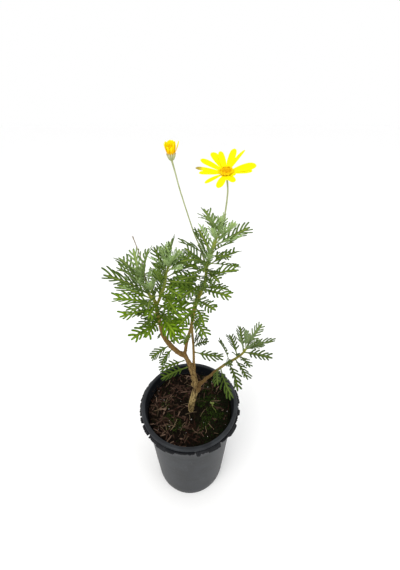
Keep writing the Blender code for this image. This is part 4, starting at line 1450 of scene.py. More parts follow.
# Degrees by which a few leaves are raised and roll over, since not all of them lie flat to the light
TURNED = {
    ("left_shoot", 0.03): (5, 0), ("left_shoot", 0.50): (-6, 0), ("left_shoot", 0.37): (3, 22),
    ("left_shoot", 0.80): (-4, 0), ("low_right_shoot", 0.02): (0, 40), ("low_right_shoot", 0.12): (0, 52),
    ("low_right_shoot", 0.36): (0, -40), ("low_right_shoot", 0.40): (0, 60),
    ("low_right_shoot", 0.54): (0, -32), ("low_right_shoot", 0.62): (0, 30),
    ("low_right_shoot", 0.68): (0, -20), ("back_shoot", 0.18): (0, 50)
}


def age_of(owner, share):
    """How pale with felt a leaf is: 0 for an old, bright green one and 1 for the youngest."""
    foot, top = AGES[owner]
    return foot + (top - foot) * max(0.0, (share - 0.3) / 0.7) ** 2


draw = random.Random(LEAF_LOOKS_SEED)
blades = {owner: [] for owner in AGES}
for owner, stem, share, matrix, size in set_leaves:
    lift, roll = TURNED.get((owner, share), (0, 0))
    lifted = matrix @ Matrix.Rotation(radians(-lift), 4, "Y")
    leaf = lay_out(size, draw, 1.12 - 0.22 * share)
    tint(leaf, (age_of(owner, share) + draw.uniform(-0.08, 0.08), draw.random(), 0))
    leaf.data.transform(lifted @ Matrix.Rotation(radians(roll), 4, "X"))
    blades[owner].append(leaf)
for owner, stem, share, matrix, size in young_leaves:
    leaf = lay_out(size, draw, SLIM_WHEN_YOUNG)
    tint(leaf, (draw.uniform(0.85, 1.0), draw.random(), 0))
    leaf.data.transform(matrix)
    blades[owner].append(leaf)
away(*combs.values())
foliage = {owner: fleshed(joined(owner + "_leaves", leaves)) for owner, leaves in blades.items()}
print("leaves:", {owner: len(leaves) for owner, leaves in blades.items()})

# %% [markdown]
# ## Finish of the leaves
# White felt covers the green, thickly on young leaves and thinly on old ones, so age sets the colour.
# The rib stays yellow-green and the underside is paler; the edges and tips of the lobes are darkened as
# painted shade, and fine noise breaks all of it up. A little sheen on the shader is the light caught by the
# hairs. The left and right shoots get a sunny copy of the finish, the others a darker shaded copy: painted
# shade.

# %% Finish: felted leaf
# The green of the painted shade on the edges and tips of the lobes, and of dark flecks in the felt
SHADE_AND_FLECK_GREEN = (0.020, 0.042, 0.008)


def felted_leaf(name, old_green, middle_green, young_felt, rib_green, under_felt):
    """The leaves' finish from its five colours; tone keeps age, chance, and what faces down."""
    finish = Finish(name, Specular_IOR_Level=0.04, Sheen_Weight=0.02, Sheen_Roughness=0.5)
    along, lobe_out, across = (finish.tone(channel, "blade") for channel in range(3))
    age = finish.tone(0)
    chance = finish.tone(1)
    under = finish.tone(2)
    clouds = finish.noise(9 * MM, 3)
    mottle = finish.noise(1.6 * MM, 4, 0.65)
    felt = finish.noise(0.28 * MM, 3, 0.7)
    shadowed = finish.layers(
        old_green,
        ((age + (clouds - 0.5) * 0.3).between(0.15, 0.5), middle_green),
        ((age + (mottle - 0.5) * 0.3).between(0.55, 0.95), young_felt),
        (chance * 0.5 * mottle, middle_green),
        ((1 - across.between(0.05, 0.75)) * (1 - lobe_out.between(0.0, 0.45)) * 0.5, rib_green),
        # Painted shade: the edges and the tips of the lobes are darkened
        (across.between(0.45, 1.0) * (0.45 - age * 0.2), SHADE_AND_FLECK_GREEN),
        (lobe_out.between(0.55, 1.0) * (0.5 + 0.4 * chance) * (1 - age * 0.55), SHADE_AND_FLECK_GREEN),
        (under * (0.5 - 0.4 * age), under_felt),
        ((1 - along.between(0.04, 0.3)) * 0.65, rib_green),
        (felt.between(0.55, 0.8) * (0.02 + 0.3 * age), (0.52, 0.64, 0.34)),
        ((1 - felt.between(0.2, 0.45)) * 0.3, SHADE_AND_FLECK_GREEN)
    )
    return finish.show(shadowed, 0.72 + 0.12 * felt, felt + mottle * 1.5, depth=0.00022, strength=0.7)


# Painted light and shade: two copies of one finish, a sunny one and a darker shaded one
sunny = felted_leaf(
    "sunny_leaf", (0.172, 0.305, 0.004), (0.090, 0.146, 0.026), (0.46, 0.63, 0.27), (0.30, 0.36, 0.055),
    (0.15, 0.21, 0.06)
)
shaded = felted_leaf(
    "shaded_leaf", (0.055, 0.098, 0.006), (0.064, 0.102, 0.018), (0.28, 0.37, 0.17), (0.17, 0.21, 0.050),
    (0.11, 0.15, 0.07)
)
# Painted shade: the leaves of the low, back and bark shoots get the darker shaded copy
for owner, leaves in foliage.items():
    sunlit = owner in ("left_shoot", "right_shoot")
    dress(leaves, sunny if sunlit else shaded, "felted_foliage", owner)

# %% [markdown]
# ## Forks and lumps
# Where limbs fork, the tubes and small lumps (old leaf scars, the cushions that leaves stand on, the
# swollen fork) overlap, and a voxel remesh melts them into one skin, as living wood has.

# %% Lumps and scars
lump_blank = new_piece("lump", bpy.ops.mesh.primitive_ico_sphere_add, subdivisions=2, radius=1)


def lump(place, along, length, width, height):
    """A small swelling that lies along a direction."""
    swelling = copy_of(lump_blank)
    facing = along.to_track_quat("X", "Z").to_matrix().to_4x4()
    swelling.data.transform(Matrix.Translation(place) @ facing @ Matrix.Diagonal((length, width, height, 1)))
    return swelling


def melted(name, pieces, voxel):
    """Fuses overlapping closed pieces into one smooth skin."""
    whole = joined(name, pieces)
    apply(whole, "REMESH", mode="VOXEL", voxel_size=voxel)
    apply(whole, "SMOOTH", factor=0.5, iterations=3)
    return whole


def scars_on(path, first, last, count, seed):
    """Half-moon ledges that fallen leaves left, in a spiral between two shares of a path."""
    draw = random.Random(seed)
    ledges = []
    for number in range(count):
        share = first + (last - first) * (number + 0.5) / count
        centre = point_along(path, share)
        sample = min(path, key=lambda found: (found[0] - centre).length)
        turn = GOLDEN_ANGLE * number + draw.uniform(-0.3, 0.3)
        across = sample[2].orthogonal().normalized()
        out = Matrix.Rotation(turn, 3, sample[2]) @ across
        size = sample[1] * draw.uniform(0.35, 0.5)
        ledges.append(lump(centre + out * sample[1] * 0.86, sample[2], size * 0.7, size * 1.3, size))
    return ledges


def fine_stretch(stem, first_knot, last_knot=None, sooner=0):
    """The fine path between two of a stem's own points, started a few samples sooner."""
    path = smooth_path(stem, FINE)
    last = len(path) if last_knot is None else last_knot * FINE + 1
    return path[max(first_knot * FINE - sooner, 0) : last]


# %% [markdown]
# ## Wood
# The trunk is tan and corky and no thicker than a pencil. It forks at a knob above the soil: the low
# branch leaves to the right, the main one leans to the left and forks again. Bark splits along a stem,
# so the skin is pushed in and out by noise that is stretched along it, more on the old trunk.

# %% Wood: one skin
MAIN_SAG = Vector((-0.8, 0, 0)) * MM
LEFT_SAG = Vector((-3.0, 0, -2.6)) * MM
LOW_SAG = Vector((0.6, 0, -1.4)) * MM
NO_SAG = Vector((0, 0, 0))
WOOD_VOXEL = 0.38 * MM
# Place in mm, the way it lies, and length, width and height in mm, of each swelling
KNOBS = (
    ((9.6, -8.4, 152), (0.5, 0, 1), 5.6, 4.5, 4.5), ((11.6, -8.2, 158), (0.6, -0.2, 1), 3.4, 2.4, 2.4),
    ((5.2, -6.6, 157), (-0.8, -0.3, 1), 3.0, 2.3, 2.2),
    ((3.6, -7.4, 128), (-1, -0.3, 0.6), 2.0, 1.5, 1.6), ((-5.4, -0.8, 200), (-0.5, 0, 1), 3.8, 2.9, 2.9)
)


def reshaped(path, first, last, sag=NO_SAG):
    """The path with its radii scaled from first to last, and bowed by the sag, most before its middle."""
    bowed = []
    for number, (place, radius, direction) in enumerate(path):
        share = number / (len(path) - 1)
        sagged = place + sag * sin(pi * share**0.75)
        bowed.append((sagged, radius * (first + (last - first) * share), direction))
    return bowed


main_line = reshaped(fine_stretch(MAIN_STEM, 0), 0.84, 0.92, MAIN_SAG)
left_line = reshaped(fine_stretch(LEFT_STEM, 0, LEFT_WOOD_END), 1.3, 1.3, LEFT_SAG)
right_line = fine_stretch(RIGHT_STEM, 0, RIGHT_WOOD_END)
back_line = reshaped(fine_stretch(BACK_STEM, 0, BACK_WOOD_END), 1.0, 1.2)
low_line = reshaped(fine_stretch(LOW_STEM, 0), 0.75, 0.95, LOW_SAG)
low_wood = low_line[: LOW_WOOD_END * FINE + 1]
# Path, and how green it is at its foot and at its end
wood_stretches = (
    (main_line, 0.0, 0.30), (left_line, 0.32, 0.50), (right_line, 0.36, 0.42), (back_line, 0.34, 0.38),
    (low_wood, 0.34, 0.46)
)
# Path, the shares between which it has scars, how many, and a seed
scarred = (
    (main_line, 0.62, 0.97, 9, 111), (left_line, 0.08, 0.97, 13, 112), (right_line, 0.2, 0.9, 4, 113),
    (low_wood, 0.25, 0.97, 10, 114)
)
wood_parts = [limb(path, 16) for path, low, high in wood_stretches]
for path, first, last, count, seed in scarred:
    wood_parts += scars_on(path, first, last, count, seed)
for place, along, length, width, height in KNOBS:
    wood_parts.append(lump(Vector(place) * MM, Vector(along), length * MM, width * MM, height * MM))
stub = ((Vector((11.5, -8.3, 156)) * MM, 1.7 * MM, UP), (Vector((13.6, -8.8, 163.5)) * MM, 1.25 * MM, UP))
wood_parts.append(limb(stub))
wood = melted("wood", wood_parts, WOOD_VOXEL)

# %% Wood: split bark
FORK_HEIGHT = 165 * MM
BROWN_OVER = 40 * MM
TRUNK_GREENS_FROM = 138 * MM
TRUNK_GREENS_OVER = 60 * MM
FORK_KNOB = Vector((11.0, -8.4, 154)) * MM
KNOB_REACH = 7.5 * MM
LOW_WOOD_DARKNESS = 0.75


def ridged(value):
    return 1 - 2 * abs(value)


samples = []
for path, low, high in wood_stretches:
    dark = LOW_WOOD_DARKNESS if path is low_wood else 0.0
    for number, (place, radius, direction) in enumerate(path):
        share = number / (len(path) - 1)
        if path is main_line:
            share = clamp((place.z - TRUNK_GREENS_FROM) / TRUNK_GREENS_OVER)
        samples.append((*place, low + (high - low) * share, dark))
samples = np.array(samples)
places = points_of(wood)
greenness = np.zeros(len(places))
relief = np.zeros(len(places))
darkness = np.zeros(len(places))
for index, place in enumerate(places):
    nearest = samples[np.argmin(((samples[:, :3] - place) ** 2).sum(axis=1))]
    greenness[index] = nearest[3]
    knob_share = exp(-(((Vector(place) - FORK_KNOB).length / KNOB_REACH) ** 2))
    darkness[index] = max(nearest[4], knob_share)
    old = 1 - clamp((place[2] - FORK_HEIGHT) / BROWN_OVER)
    x, y, z = place
    plates = ridged(noise.noise(Vector((x * 330, y * 330, z * 75))))
    splits = ridged(noise.noise(Vector((x * 800 + 3, y * 800, z * 190))))
    rings = noise.noise(Vector((x * 120, y * 120, z * 620)))
    coarse = (0.16 + 0.44 * old) * plates + (0.10 + 0.26 * old) * splits
    relief[index] = coarse + (0.06 + 0.08 * old) * rings
push_out(wood, (relief - 0.1) * MM)
tint(wood, np.stack([greenness, relief, darkness], axis=1))
shade(wood)
print("bark relief from", round(relief.min(), 2), "to", round(relief.max(), 2), "mm")

# %% [markdown]
# ## Finish of bark and stems
# Tan cork at the foot, red-brown where the bark is younger, then olive and green: one ramp, read from a
# number that each point keeps. Wood and green stems share it, so no line shows where they meet. The
# second and third numbers of the bark are its relief and how dark it is.

# %% Finish: bark and green stem
STEM_COLOURS = (
    (0.0, (0.400, 0.290, 0.120)), (0.16, (0.240, 0.155, 0.058)), (0.36, (0.215, 0.125, 0.042)),
    (0.58, (0.225, 0.165, 0.030)), (0.78, (0.260, 0.265, 0.034)), (1.0, (0.330, 0.400, 0.075))
)


def stem_colour(finish, share):
    ramp = finish.node("ValToRGB", {"stops": STEM_COLOURS}, {"Fac": share})
    return finish.wire(ramp, "Color")


finish = Finish("bark", Specular_IOR_Level=0.07)
share = finish.tone(0)
fibres = finish.noise(0.8 * MM, 5, 0.7, stretch=(1, 1, 0.22))
cork = finish.noise(2.6 * MM, 4, 0.6, stretch=(1, 1, 0.5))
cracks = finish.cells(2.4 * MM, stretch=(1, 1, 0.3))
old = 1 - share.between(0.12, 0.34)
bark_colour = finish.layers(
    stem_colour(finish, share + (cork - 0.5) * 0.16),
    (fibres.between(0.52, 0.68) * (0.15 + 0.5 * old), (0.50, 0.38, 0.17)),
    ((1 - fibres.between(0.38, 0.54)) * (0.5 + 0.35 * old), (0.022, 0.011, 0.004)),
    (cracks.between(0.5, 0.75) * old * 0.7, (0.014, 0.007, 0.003)),
    # Painted shade: darker where the bark relief is low, in its splits
    ((1 - finish.tone(1).between(-0.1, 0.3)) * (0.4 + 0.5 * old), (0.012, 0.006, 0.003)),
    (finish.tone(2) * 0.75, (0.052, 0.029, 0.012))
)
bumps = fibres + cork + cracks * 0.5 * old
bark = finish.show(bark_colour, 0.78 + 0.12 * fibres, bumps, depth=0.0008, strength=0.9)
dress(wood, bark, "bark", "woody_stem")

finish = Finish("green_stem", Specular_IOR_Level=0.15)
lines = finish.noise(0.7 * MM, 4, 0.65, stretch=(1, 1, 0.15))
patches = finish.noise(5 * MM, 3)
browned = finish.layers(
    stem_colour(finish, finish.tone(0) + (patches - 0.5) * 0.3),
    (lines.between(0.5, 0.75) * 0.3, (0.38, 0.38, 0.13)),
    ((1 - lines.between(0.3, 0.5)) * 0.5, (0.075, 0.045, 0.018))
)
green_stem = finish.show(browned, 0.62 + 0.15 * lines, lines, depth=0.0003, strength=0.8)

# %% [markdown]
# ## Green stems
# Above the bark a shoot is green and ridged below each leaf. Each leaf stands on a cushion, which is a
# lump on the stem towards the leaf. The stems start a little way inside the wood.

# %% Green stems
STEM_VOXEL = 0.36 * MM
INTO_WOOD = 3
SCAR_SEED = 120


def stem_skin(owner, stretches, heights, hues, scars):
    """The skin of a shoot's stems, with a cushion under each of its leaves and scars lower down."""
    parts = [limb(path) for path in stretches]
    lines = [sample for path in stretches for sample in path]
    for leaf_owner, stem, share, matrix, size in set_leaves + young_leaves:
        if leaf_owner != owner:
            continue
        root = matrix.translation
        sample = min(lines, key=lambda found: (found[0] - root).length)
        along = (matrix.to_3x3() @ Vector((1, 0, 0))).normalized()
        width = max(sample[1] * 0.62, 0.7 * MM)
        parts.append(lump(root + along * sample[1] * 0.75, along, width * 1.7, width, width * 0.8))
    for number, (path, count) in enumerate(zip(stretches, scars)):
        parts += scars_on(path, 0.02, 0.9, count, SCAR_SEED + number)
    skin = melted(owner + "_stems", parts, STEM_VOXEL)
    places = points_of(skin)
    push_out(skin, [noise.noise(Vector((x * 500, y * 500, z * 110))) * 0.12 * MM for x, y, z in places])
    tint(skin, [(share, 0, 0) for share in np.interp(places[:, 2] / MM, heights, hues)])
    shade(skin)
    dress(skin, green_stem, "felted_foliage", owner)


dry_stub = fine_stretch(DRY_STALK, 0, STUB_END)
bud_stub = fine_stretch(BUD_STALK, 0, STUB_END)
left_green = reshaped(fine_stretch(LEFT_STEM, LEFT_WOOD_END, None, INTO_WOOD), 1.28, 1.05)
middle_green = reshaped(fine_stretch(MIDDLE_STEM, 0), 1.2, 1.05)
right_green = fine_stretch(RIGHT_STEM, RIGHT_WOOD_END, RIGHT_SHOOT_END, INTO_WOOD)
back_green = reshaped(fine_stretch(BACK_STEM, BACK_WOOD_END, None, INTO_WOOD), 1.2, 1.1)
low_green = low_line[LOW_WOOD_END * FINE - INTO_WOOD :]
# Owner, stems, heights in mm with how green the stem is there, and scars on the first stems
GREEN_STEMS = (
    (
        "left_shoot", (left_green, middle_green, dry_stub), (246, 262, 280, 300), (0.50, 0.66, 0.82, 1.0),
        (22, 8)
    ),
    (
        "right_shoot", (right_green, bud_stub), (219, 238, 258, 285, 330), (0.42, 0.52, 0.68, 0.82, 1.0),
        (40,)
    ),
    ("back_shoot", (back_green,), (182, 240, 268), (0.38, 0.48, 0.90), (14,)),
    ("low_right_shoot", (low_green,), (193, 208, 222, 238), (0.46, 0.54, 0.68, 0.92), (18,))
)
for owner, stretches, heights, hues, scars in GREEN_STEMS:
    stem_skin(owner, stretches, heights, hues, scars)
away(lump_blank)

# %% [markdown]
# ## Stalks and cups
# A flower stalk is slender, bare and faintly ribbed, and widens under the head into a green cup, the
# involucre: one row of some thirteen pointed bracts, joined for most of their length. The cup is pulled
# up from a circle like the pot, and one bract is modelled and copied round it.

# %% Heads: where they stand
HEAD_TILT = radians(26)
HEAD_LEAN = radians(-8)
BUD_LEAN = radians(-4)


def head_matrix(place, tilt, lean):
    """A head's frame: its axis starts along +Z, tips to the front by the tilt and sideways by the lean."""
    return Matrix.Translation(place) @ Matrix.Rotation(lean, 4, "Y") @ Matrix.Rotation(tilt, 4, "X")


open_matrix = head_matrix(smooth_path(RIGHT_STEM)[-1][0], HEAD_TILT, HEAD_LEAN)
bud_matrix = head_matrix(smooth_path(BUD_STALK)[-1][0], 0, BUD_LEAN)

# %% Cups
CUP_SIDES = 26
BRACTS = 13
BRACT_SHEET = 0.3 * MM
OPEN_CUP_RINGS = (
    (0.6, -1.6), (1.0, -1.3), (1.5, -0.5), (2.3, 0.3), (3.2, 1.2), (3.9, 2.1), (4.4, 3.2), (4.75, 4.3),
    (4.3, 4.35), (3.6, 4.2), (1.5, 4.2)
)
BUD_CUP_RINGS = (
    (0.6, -1.3), (0.9, -1.0), (1.4, -0.2), (2.0, 0.7), (2.6, 1.7), (3.1, 2.8), (3.5, 4.0), (3.7, 4.6),
    (3.4, 4.7), (3.1, 4.1), (1.5, 4.1)
)


def cup_of(rings, bract_tip, matrix):
    """A cup pulled up from a circle, with bracts laid over it."""
    cup = done(pulled_up("cup", CUP_SIDES, rings))
    outer = [ring for ring in rings if ring[1] > -0.9][: len(rings) - 5]
    bract = new_piece("bract", bpy.ops.mesh.primitive_grid_add, x_subdivisions=8, y_subdivisions=4, size=2)
    line_radius = [radius for radius, height in outer] + [outer[-1][0] + 0.25]
    line_height = [height for radius, height in outer] + [bract_tip]
    spread = tau / BRACTS * 0.52
    shaped = []
    for x, y, z in points_of(bract):
        share = (x + 1) / 2
        radius = np.interp(share * (len(line_radius) - 1), range(len(line_radius)), line_radius)
        height = np.interp(share * (len(line_height) - 1), range(len(line_height)), line_height)
        narrow = 1 - max(0.0, (share - 0.62) / 0.38) ** 1.5 * 0.93
        turn = y * spread * narrow
        out = (radius + 0.28 * (1 - y * y) + 0.12) * MM
        shaped.append((out * cos(turn), out * sin(turn), height * MM))
    set_points(bract, shaped)
    apply(bract, "SOLIDIFY", thickness=BRACT_SHEET, offset=0)
    rounder(bract, 1)
    tint(bract, [(clamp((z / MM + 1) / (bract_tip + 1)), 0, 0) for x, y, z in points_of(bract)])
    tint(cup, (0.3, 0, 0))
    parts = [cup]
    for number in range(BRACTS):
        twin = copy_of(bract)
        twin.data.transform(Matrix.Rotation(tau * number / BRACTS + 0.06 * (number % 3), 4, "Z"))
        parts.append(twin)
    away(bract)
    whole = joined("cup", parts)
    whole.data.transform(matrix)
    return shade(whole, 60)


def stalk_of(path, seed):
    """A slender stalk with faint ribs."""
    stalk = limb(path, 20)
    places = points_of(stalk)
    ribs = [noise.noise(Vector((x * 900, y * 900, z * 60 + seed))) * 0.09 * MM for x, y, z in places]
    push_out(stalk, ribs)
    low, high = places[:, 2].min(), places[:, 2].max()
    tint(stalk, [((z - low) / (high - low) * 0.5, 0, 1) for z in places[:, 2]])
    return shade(stalk)


# %% [markdown]
# ## Finish of stalks and cups
# One finish serves both: a mark on each point tells stalk from cup. The stalk is cloudy green under pale
# lines of felt, and the bracts of the cup grow paler upwards and end in a purplish edge.

# %% Finish: stalk green
finish = Finish("stalk_green", Specular_IOR_Level=0.35)
lines = finish.noise(0.5 * MM, 4, 0.6, stretch=(1, 1, 0.12))
clouds = finish.noise(6 * MM, 3)
reach = finish.tone(0)
on_stalk = finish.tone(2)
stalk_base = finish.mix(clouds.between(0.35, 0.65), (0.28, 0.32, 0.13), (0.37, 0.40, 0.21))
cup_base = finish.mix(reach.between(0.1, 0.9), (0.32, 0.36, 0.15), (0.47, 0.46, 0.26))
felted = finish.layers(
    cup_base, (on_stalk, stalk_base), (reach.between(0.86, 1.0) * (1 - on_stalk) * 0.6, (0.20, 0.11, 0.13)),
    (lines.between(0.5, 0.72) * 0.45, (0.55, 0.58, 0.42))
)
stalk_green = finish.show(felted, 0.6 + 0.2 * lines, lines, depth=0.0003, strength=0.7)


# %% Stalks with their cups
def slimmer(path, share):
    """The path with its radii drawn in between its two ends."""
    slim = []
    for number, (place, radius, direction) in enumerate(path):
        middle = sin(pi * number / (len(path) - 1)) ** 0.35
        slim.append((place, radius * (1 - (1 - share) * middle), direction))
    return slim


flower_line = slimmer(fine_stretch(RIGHT_STEM, RIGHT_SHOOT_END, None, 2), 0.92)
bud_line = slimmer(fine_stretch(BUD_STALK, STUB_END, None, 2), 0.82)
flower_parts = [stalk_of(flower_line, 1), cup_of(OPEN_CUP_RINGS, 5.4, open_matrix)]
dress(joined("flower_stalk_and_cup", flower_parts), stalk_green, "stalk_green", "flower_stalk")
bud_parts = [stalk_of(bud_line, 2), cup_of(BUD_CUP_RINGS, 6.2, bud_matrix)]
dress(joined("bud_stalk_and_cup", bud_parts), stalk_green, "stalk_green", "bud_stalk")

# %% [markdown]
# ## Dry stalk
# The stalk of an old head has shrunk and browned. Its end is frayed where the head broke off.

# %% Dry stalk
SPLINTERS = 6
dry_line = slimmer(fine_stretch(DRY_STALK, STUB_END, None, 2), 0.6)
dry_parts = [stalk_of(dry_line, 3)]
draw = random.Random(131)
tip, tip_radius, tip_way = dry_line[-1]
for number in range(SPLINTERS):
    turn = tau * number / SPLINTERS + draw.uniform(-0.3, 0.3)
    out = Matrix.Rotation(turn, 3, tip_way) @ tip_way.orthogonal().normalized()
    reach = draw.uniform(1.4, 3.2) * MM
    splinter = (
        (tip + out * tip_radius * 0.5 - tip_way * MM, 0.28 * MM, tip_way),
        (tip + out * tip_radius * 0.7 + tip_way * reach * 0.5, 0.2 * MM, tip_way),
        (tip + out * tip_radius * 1.3 + tip_way * reach, 0.06 * MM, tip_way)
    )
    dry_parts.append(limb(splinter, 6))
    tint(dry_parts[-1], (0.9, 0, 1))
dry = joined("dry_stalk_frayed", dry_parts)
finish = Finish("dry_brown", Specular_IOR_Level=0.25)
lines = finish.noise(0.5 * MM, 4, 0.7, stretch=(1, 1, 0.15))
dry_colour = finish.mix(lines.between(0.35, 0.65), (0.17, 0.12, 0.085), (0.42, 0.37, 0.29))
dress(dry, finish.show(dry_colour, 0.85, lines, depth=0.0003), "dry_brown", "dry_stalk")

# %% [markdown]
# ## Petals
# What looks like one flower is a head of many. The yellow petals are the ray florets: straps with two
# long grooves and a blunt tip with three small teeth. One strap is a grid; a copy for each ray is laid
# out with its own length, width and arch, as the leaves are.

# %% Petals
RAY_ROOT_RADIUS = 2.6 * MM
RAY_ROOT_HEIGHT = 4.95 * MM
RAY_BEND = 0.2
BUD_RAY_ROOT_RADIUS = 2.8 * MM
BUD_RAY_ROOT_HEIGHT = 4.6 * MM
BUD_RAY_BEND = -0.3
# Bearing, reach from the root and width in mm, and rise, of each ray
OPEN_RAYS = (
    (7, 25.5, 10.2, 7), (52, 28.5, 4.4, 16), (66, 27.5, 7.2, 18), (97, 24, 6.2, 21), (108, 28, 7.6, 15),
    (138, 27.5, 6.2, 14), (160, 27, 4.4, 10), (173, 22.5, 6.4, 9), (205, 20.5, 4.2, 6),
    (243, 18.5, 7.4, 4), (268, 9, 5.0, 10), (290, 12, 7.0, 2), (320, 7, 5.0, 14), (353, 20.5, 7.5, 6)
)
WITHERED_RAY = 160
PETAL_SHEET = 0.32 * MM
BUD_RAYS = (
    (352, 12.6, 4.6, 56), (20, 11.5, 4.8, 72), (55, 12.3, 5.2, 80), (88, 12.6, 5.2, 82),
    (120, 12.2, 5.2, 80), (155, 11.8, 5.0, 74), (190, 10.8, 4.6, 66), (222, 7.5, 4.4, 74),
    (262, 5.6, 3.8, 84), (306, 7.0, 4.2, 76), (332, 9.5, 4.2, 74)
)
STRAP_SHARES = (0, 0.1, 0.2, 0.35, 0.5, 0.7, 0.85, 0.94, 1.0)
STRAP_WIDTHS = (0.46, 0.54, 0.66, 0.88, 0.98, 1.0, 0.9, 0.76, 0.56)

strap = new_piece("strap", bpy.ops.mesh.primitive_grid_add, x_subdivisions=16, y_subdivisions=8, size=2)


def petal(reach, width, bend, draw, depth=0.0, groove=0.26 * MM):
    """A copy of the strap with one petal's measures, and how deep its yellow is."""
    twin = copy_of(strap)
    twist = draw.uniform(-0.25, 0.25)
    wave = draw.uniform(-0.3, 0.3) * MM
    lean = draw.uniform(-0.06, 0.06)
    shaped = []
    values = []
    for x, y, z in points_of(twin):
        share = (x + 1) / 2
        half = width / 2 * np.interp(share, STRAP_SHARES, STRAP_WIDTHS)
        blunt = share**8
        along = reach * (share - blunt * 0.055 * y * y + blunt * 0.012 * cos(3 * pi * y))
        across = half * y + lean * reach * share**2
        grooved = groove * cos(3 * pi * y) * sin(pi * min(share * 1.05, 1)) ** 0.5
        lift = 0.12 * abs(across) + grooved
        lift += wave * sin(tau * share) * y
        turn = twist * share
        lift, across = lift + across * sin(turn), across * cos(turn)
        shaped.append(arched(along, across, lift, reach, bend))
        values.append((share, depth, abs(y)))
    set_points(twin, shaped)
    tint(twin, values)
    return twin


def petals_of(name, rays, root_radius, root_height, bend, matrix, seed, depth):
    """The rays of one head, set round it and given their thickness."""
    draw = random.Random(seed)
    petals = []
    for bearing, reach, width, rise in rays:
        turn = radians(bearing)
        root = Vector((cos(turn) * root_radius, sin(turn) * root_radius, root_height))
        one = petal(reach * MM, width * MM, bend, draw, -1.0 if bearing == WITHERED_RAY else depth)
        one.data.transform(matrix @ leaf_matrix(root, turn, radians(rise), 0))
        petals.append(one)
    whole = joined(name, petals)
    apply(whole, "SOLIDIFY", thickness=PETAL_SHEET, offset=0)
    rounder(whole, 1)
    return shade(whole)


flower_petals = petals_of(
    "flower_petals", OPEN_RAYS, RAY_ROOT_RADIUS, RAY_ROOT_HEIGHT, RAY_BEND, open_matrix, seed=141, depth=0.0
)
bud_petals = petals_of(
    "bud_petals", BUD_RAYS, BUD_RAY_ROOT_RADIUS, BUD_RAY_ROOT_HEIGHT, BUD_RAY_BEND, bud_matrix, seed=142,
    depth=1.0
)

# %% [markdown]
# ## Seedling
# A seedling has come up in the soil at the right: a bent stalk with two seed leaves and two small true
# ones, for which the petal's strap serves too.

# %% Seedling
SEEDLING_STEM = (
    (34, -8.5, 107.0, 0.5), (33.4, -8.4, 112, 0.42), (29.6, -8.0, 117.5, 0.4), (28.8, -8.0, 123.5, 0.38)
)
# Bearing, reach and width in mm, and rise, of each leaf
SEEDLING_LEAVES = ((170, 3.9, 2.5, 60), (10, 3.5, 2.3, 55), (95, 2.6, 1.8, 70), (280, 3.2, 2.0, 35))
SEEDLING_SHEET = 0.3 * MM
seedling_parts = [limb(smooth_path(SEEDLING_STEM, FINE), 8)]
tint(seedling_parts[0], (0.3, 0, 1))
draw = random.Random(161)
crown = Vector(SEEDLING_STEM[-1][:3]) * MM - UP * 0.3 * MM
for bearing, reach, width, rise in SEEDLING_LEAVES:
    small = petal(reach * MM, width * MM, 0.5, draw, groove=0.1 * MM)
    small.data.transform(leaf_matrix(crown, radians(bearing), radians(rise), 0))
    apply(small, "SOLIDIFY", thickness=SEEDLING_SHEET, offset=0)
    seedling_parts.append(small)
seedling = shade(joined("soil_seedling", seedling_parts))
away(strap)
finish = Finish("seedling_green", Specular_IOR_Level=0.3)
veins = finish.noise(0.6 * MM, 3)
seedling_colour = finish.mix(veins.between(0.35, 0.65), (0.07, 0.10, 0.015), (0.18, 0.21, 0.05))
dress(seedling, finish.show(seedling_colour, 0.55, veins, depth=0.0002), "felted_foliage", "soil")

# %% [markdown]
# ## Finish of the petals
# Yellow, deeper at the foot, darker along the two grooves where the veins run and painted shade lies, and
# orange low on the rays that still stand upright.
# A slight glow of their own stands for the light that passes through such thin petals.

# %% Finish: petal yellow
PETAL_GLOW = (0.85, 0.66, 0.0, 1.0)
finish = Finish(
    "petal_yellow", Specular_IOR_Level=0.03, Emission_Color=PETAL_GLOW, Emission_Strength=0.05
)
share = finish.tone(0)
edge = finish.tone(2)
clouds = finish.noise(3 * MM, 3)
fine = finish.noise(0.4 * MM, 3)
lower_half = 0.9 - 0.8 * share.between(0.35, 0.85)
withering = (finish.tone(1) * -1.0).between(0.2, 0.8)
withered = finish.layers(
    (0.78, 0.52, 0.002), (share.between(0.0, 0.3), (0.82, 0.77, 0.0015)),
    (share.between(0.7, 1.0) * 0.5, (0.86, 0.83, 0.004)),
    # Darker along the two grooves: the veins, together with painted shade in the grooves
    ((1 - edge.away_from(0.33).between(0.0, 0.16)) * 0.7, (0.76, 0.56, 0.001)),
    (clouds.between(0.4, 0.7) * 0.3, (0.77, 0.71, 0.001)),
    (finish.tone(1).between(0.0, 1.0) * lower_half, (0.80, 0.44, 0.003)),
    (share.between(0.965, 1.0) * clouds.between(0.45, 0.55) * 0.7, (0.45, 0.30, 0.10)),
    (withering * share.between(0.64, 0.92) * 0.9, (0.26, 0.19, 0.05))
)
petal_yellow = finish.show(withered, 0.48 + 0.12 * fine, fine * 0.2 + clouds, depth=0.0002, strength=0.5)
dress(flower_petals, petal_yellow, "ray_yellow", "flower_rays")
dress(bud_petals, petal_yellow, "ray_yellow", "bud_rays")

# %% [markdown]
# ## Discs
# The middle of a head is packed with small tubular florets in the spiral that sunflowers show: each one
# is the golden angle further round. Inner florets are closed, outer ones open in five points. Both kinds
# are modelled once from a circle that is pulled up, and copied over a low dome.

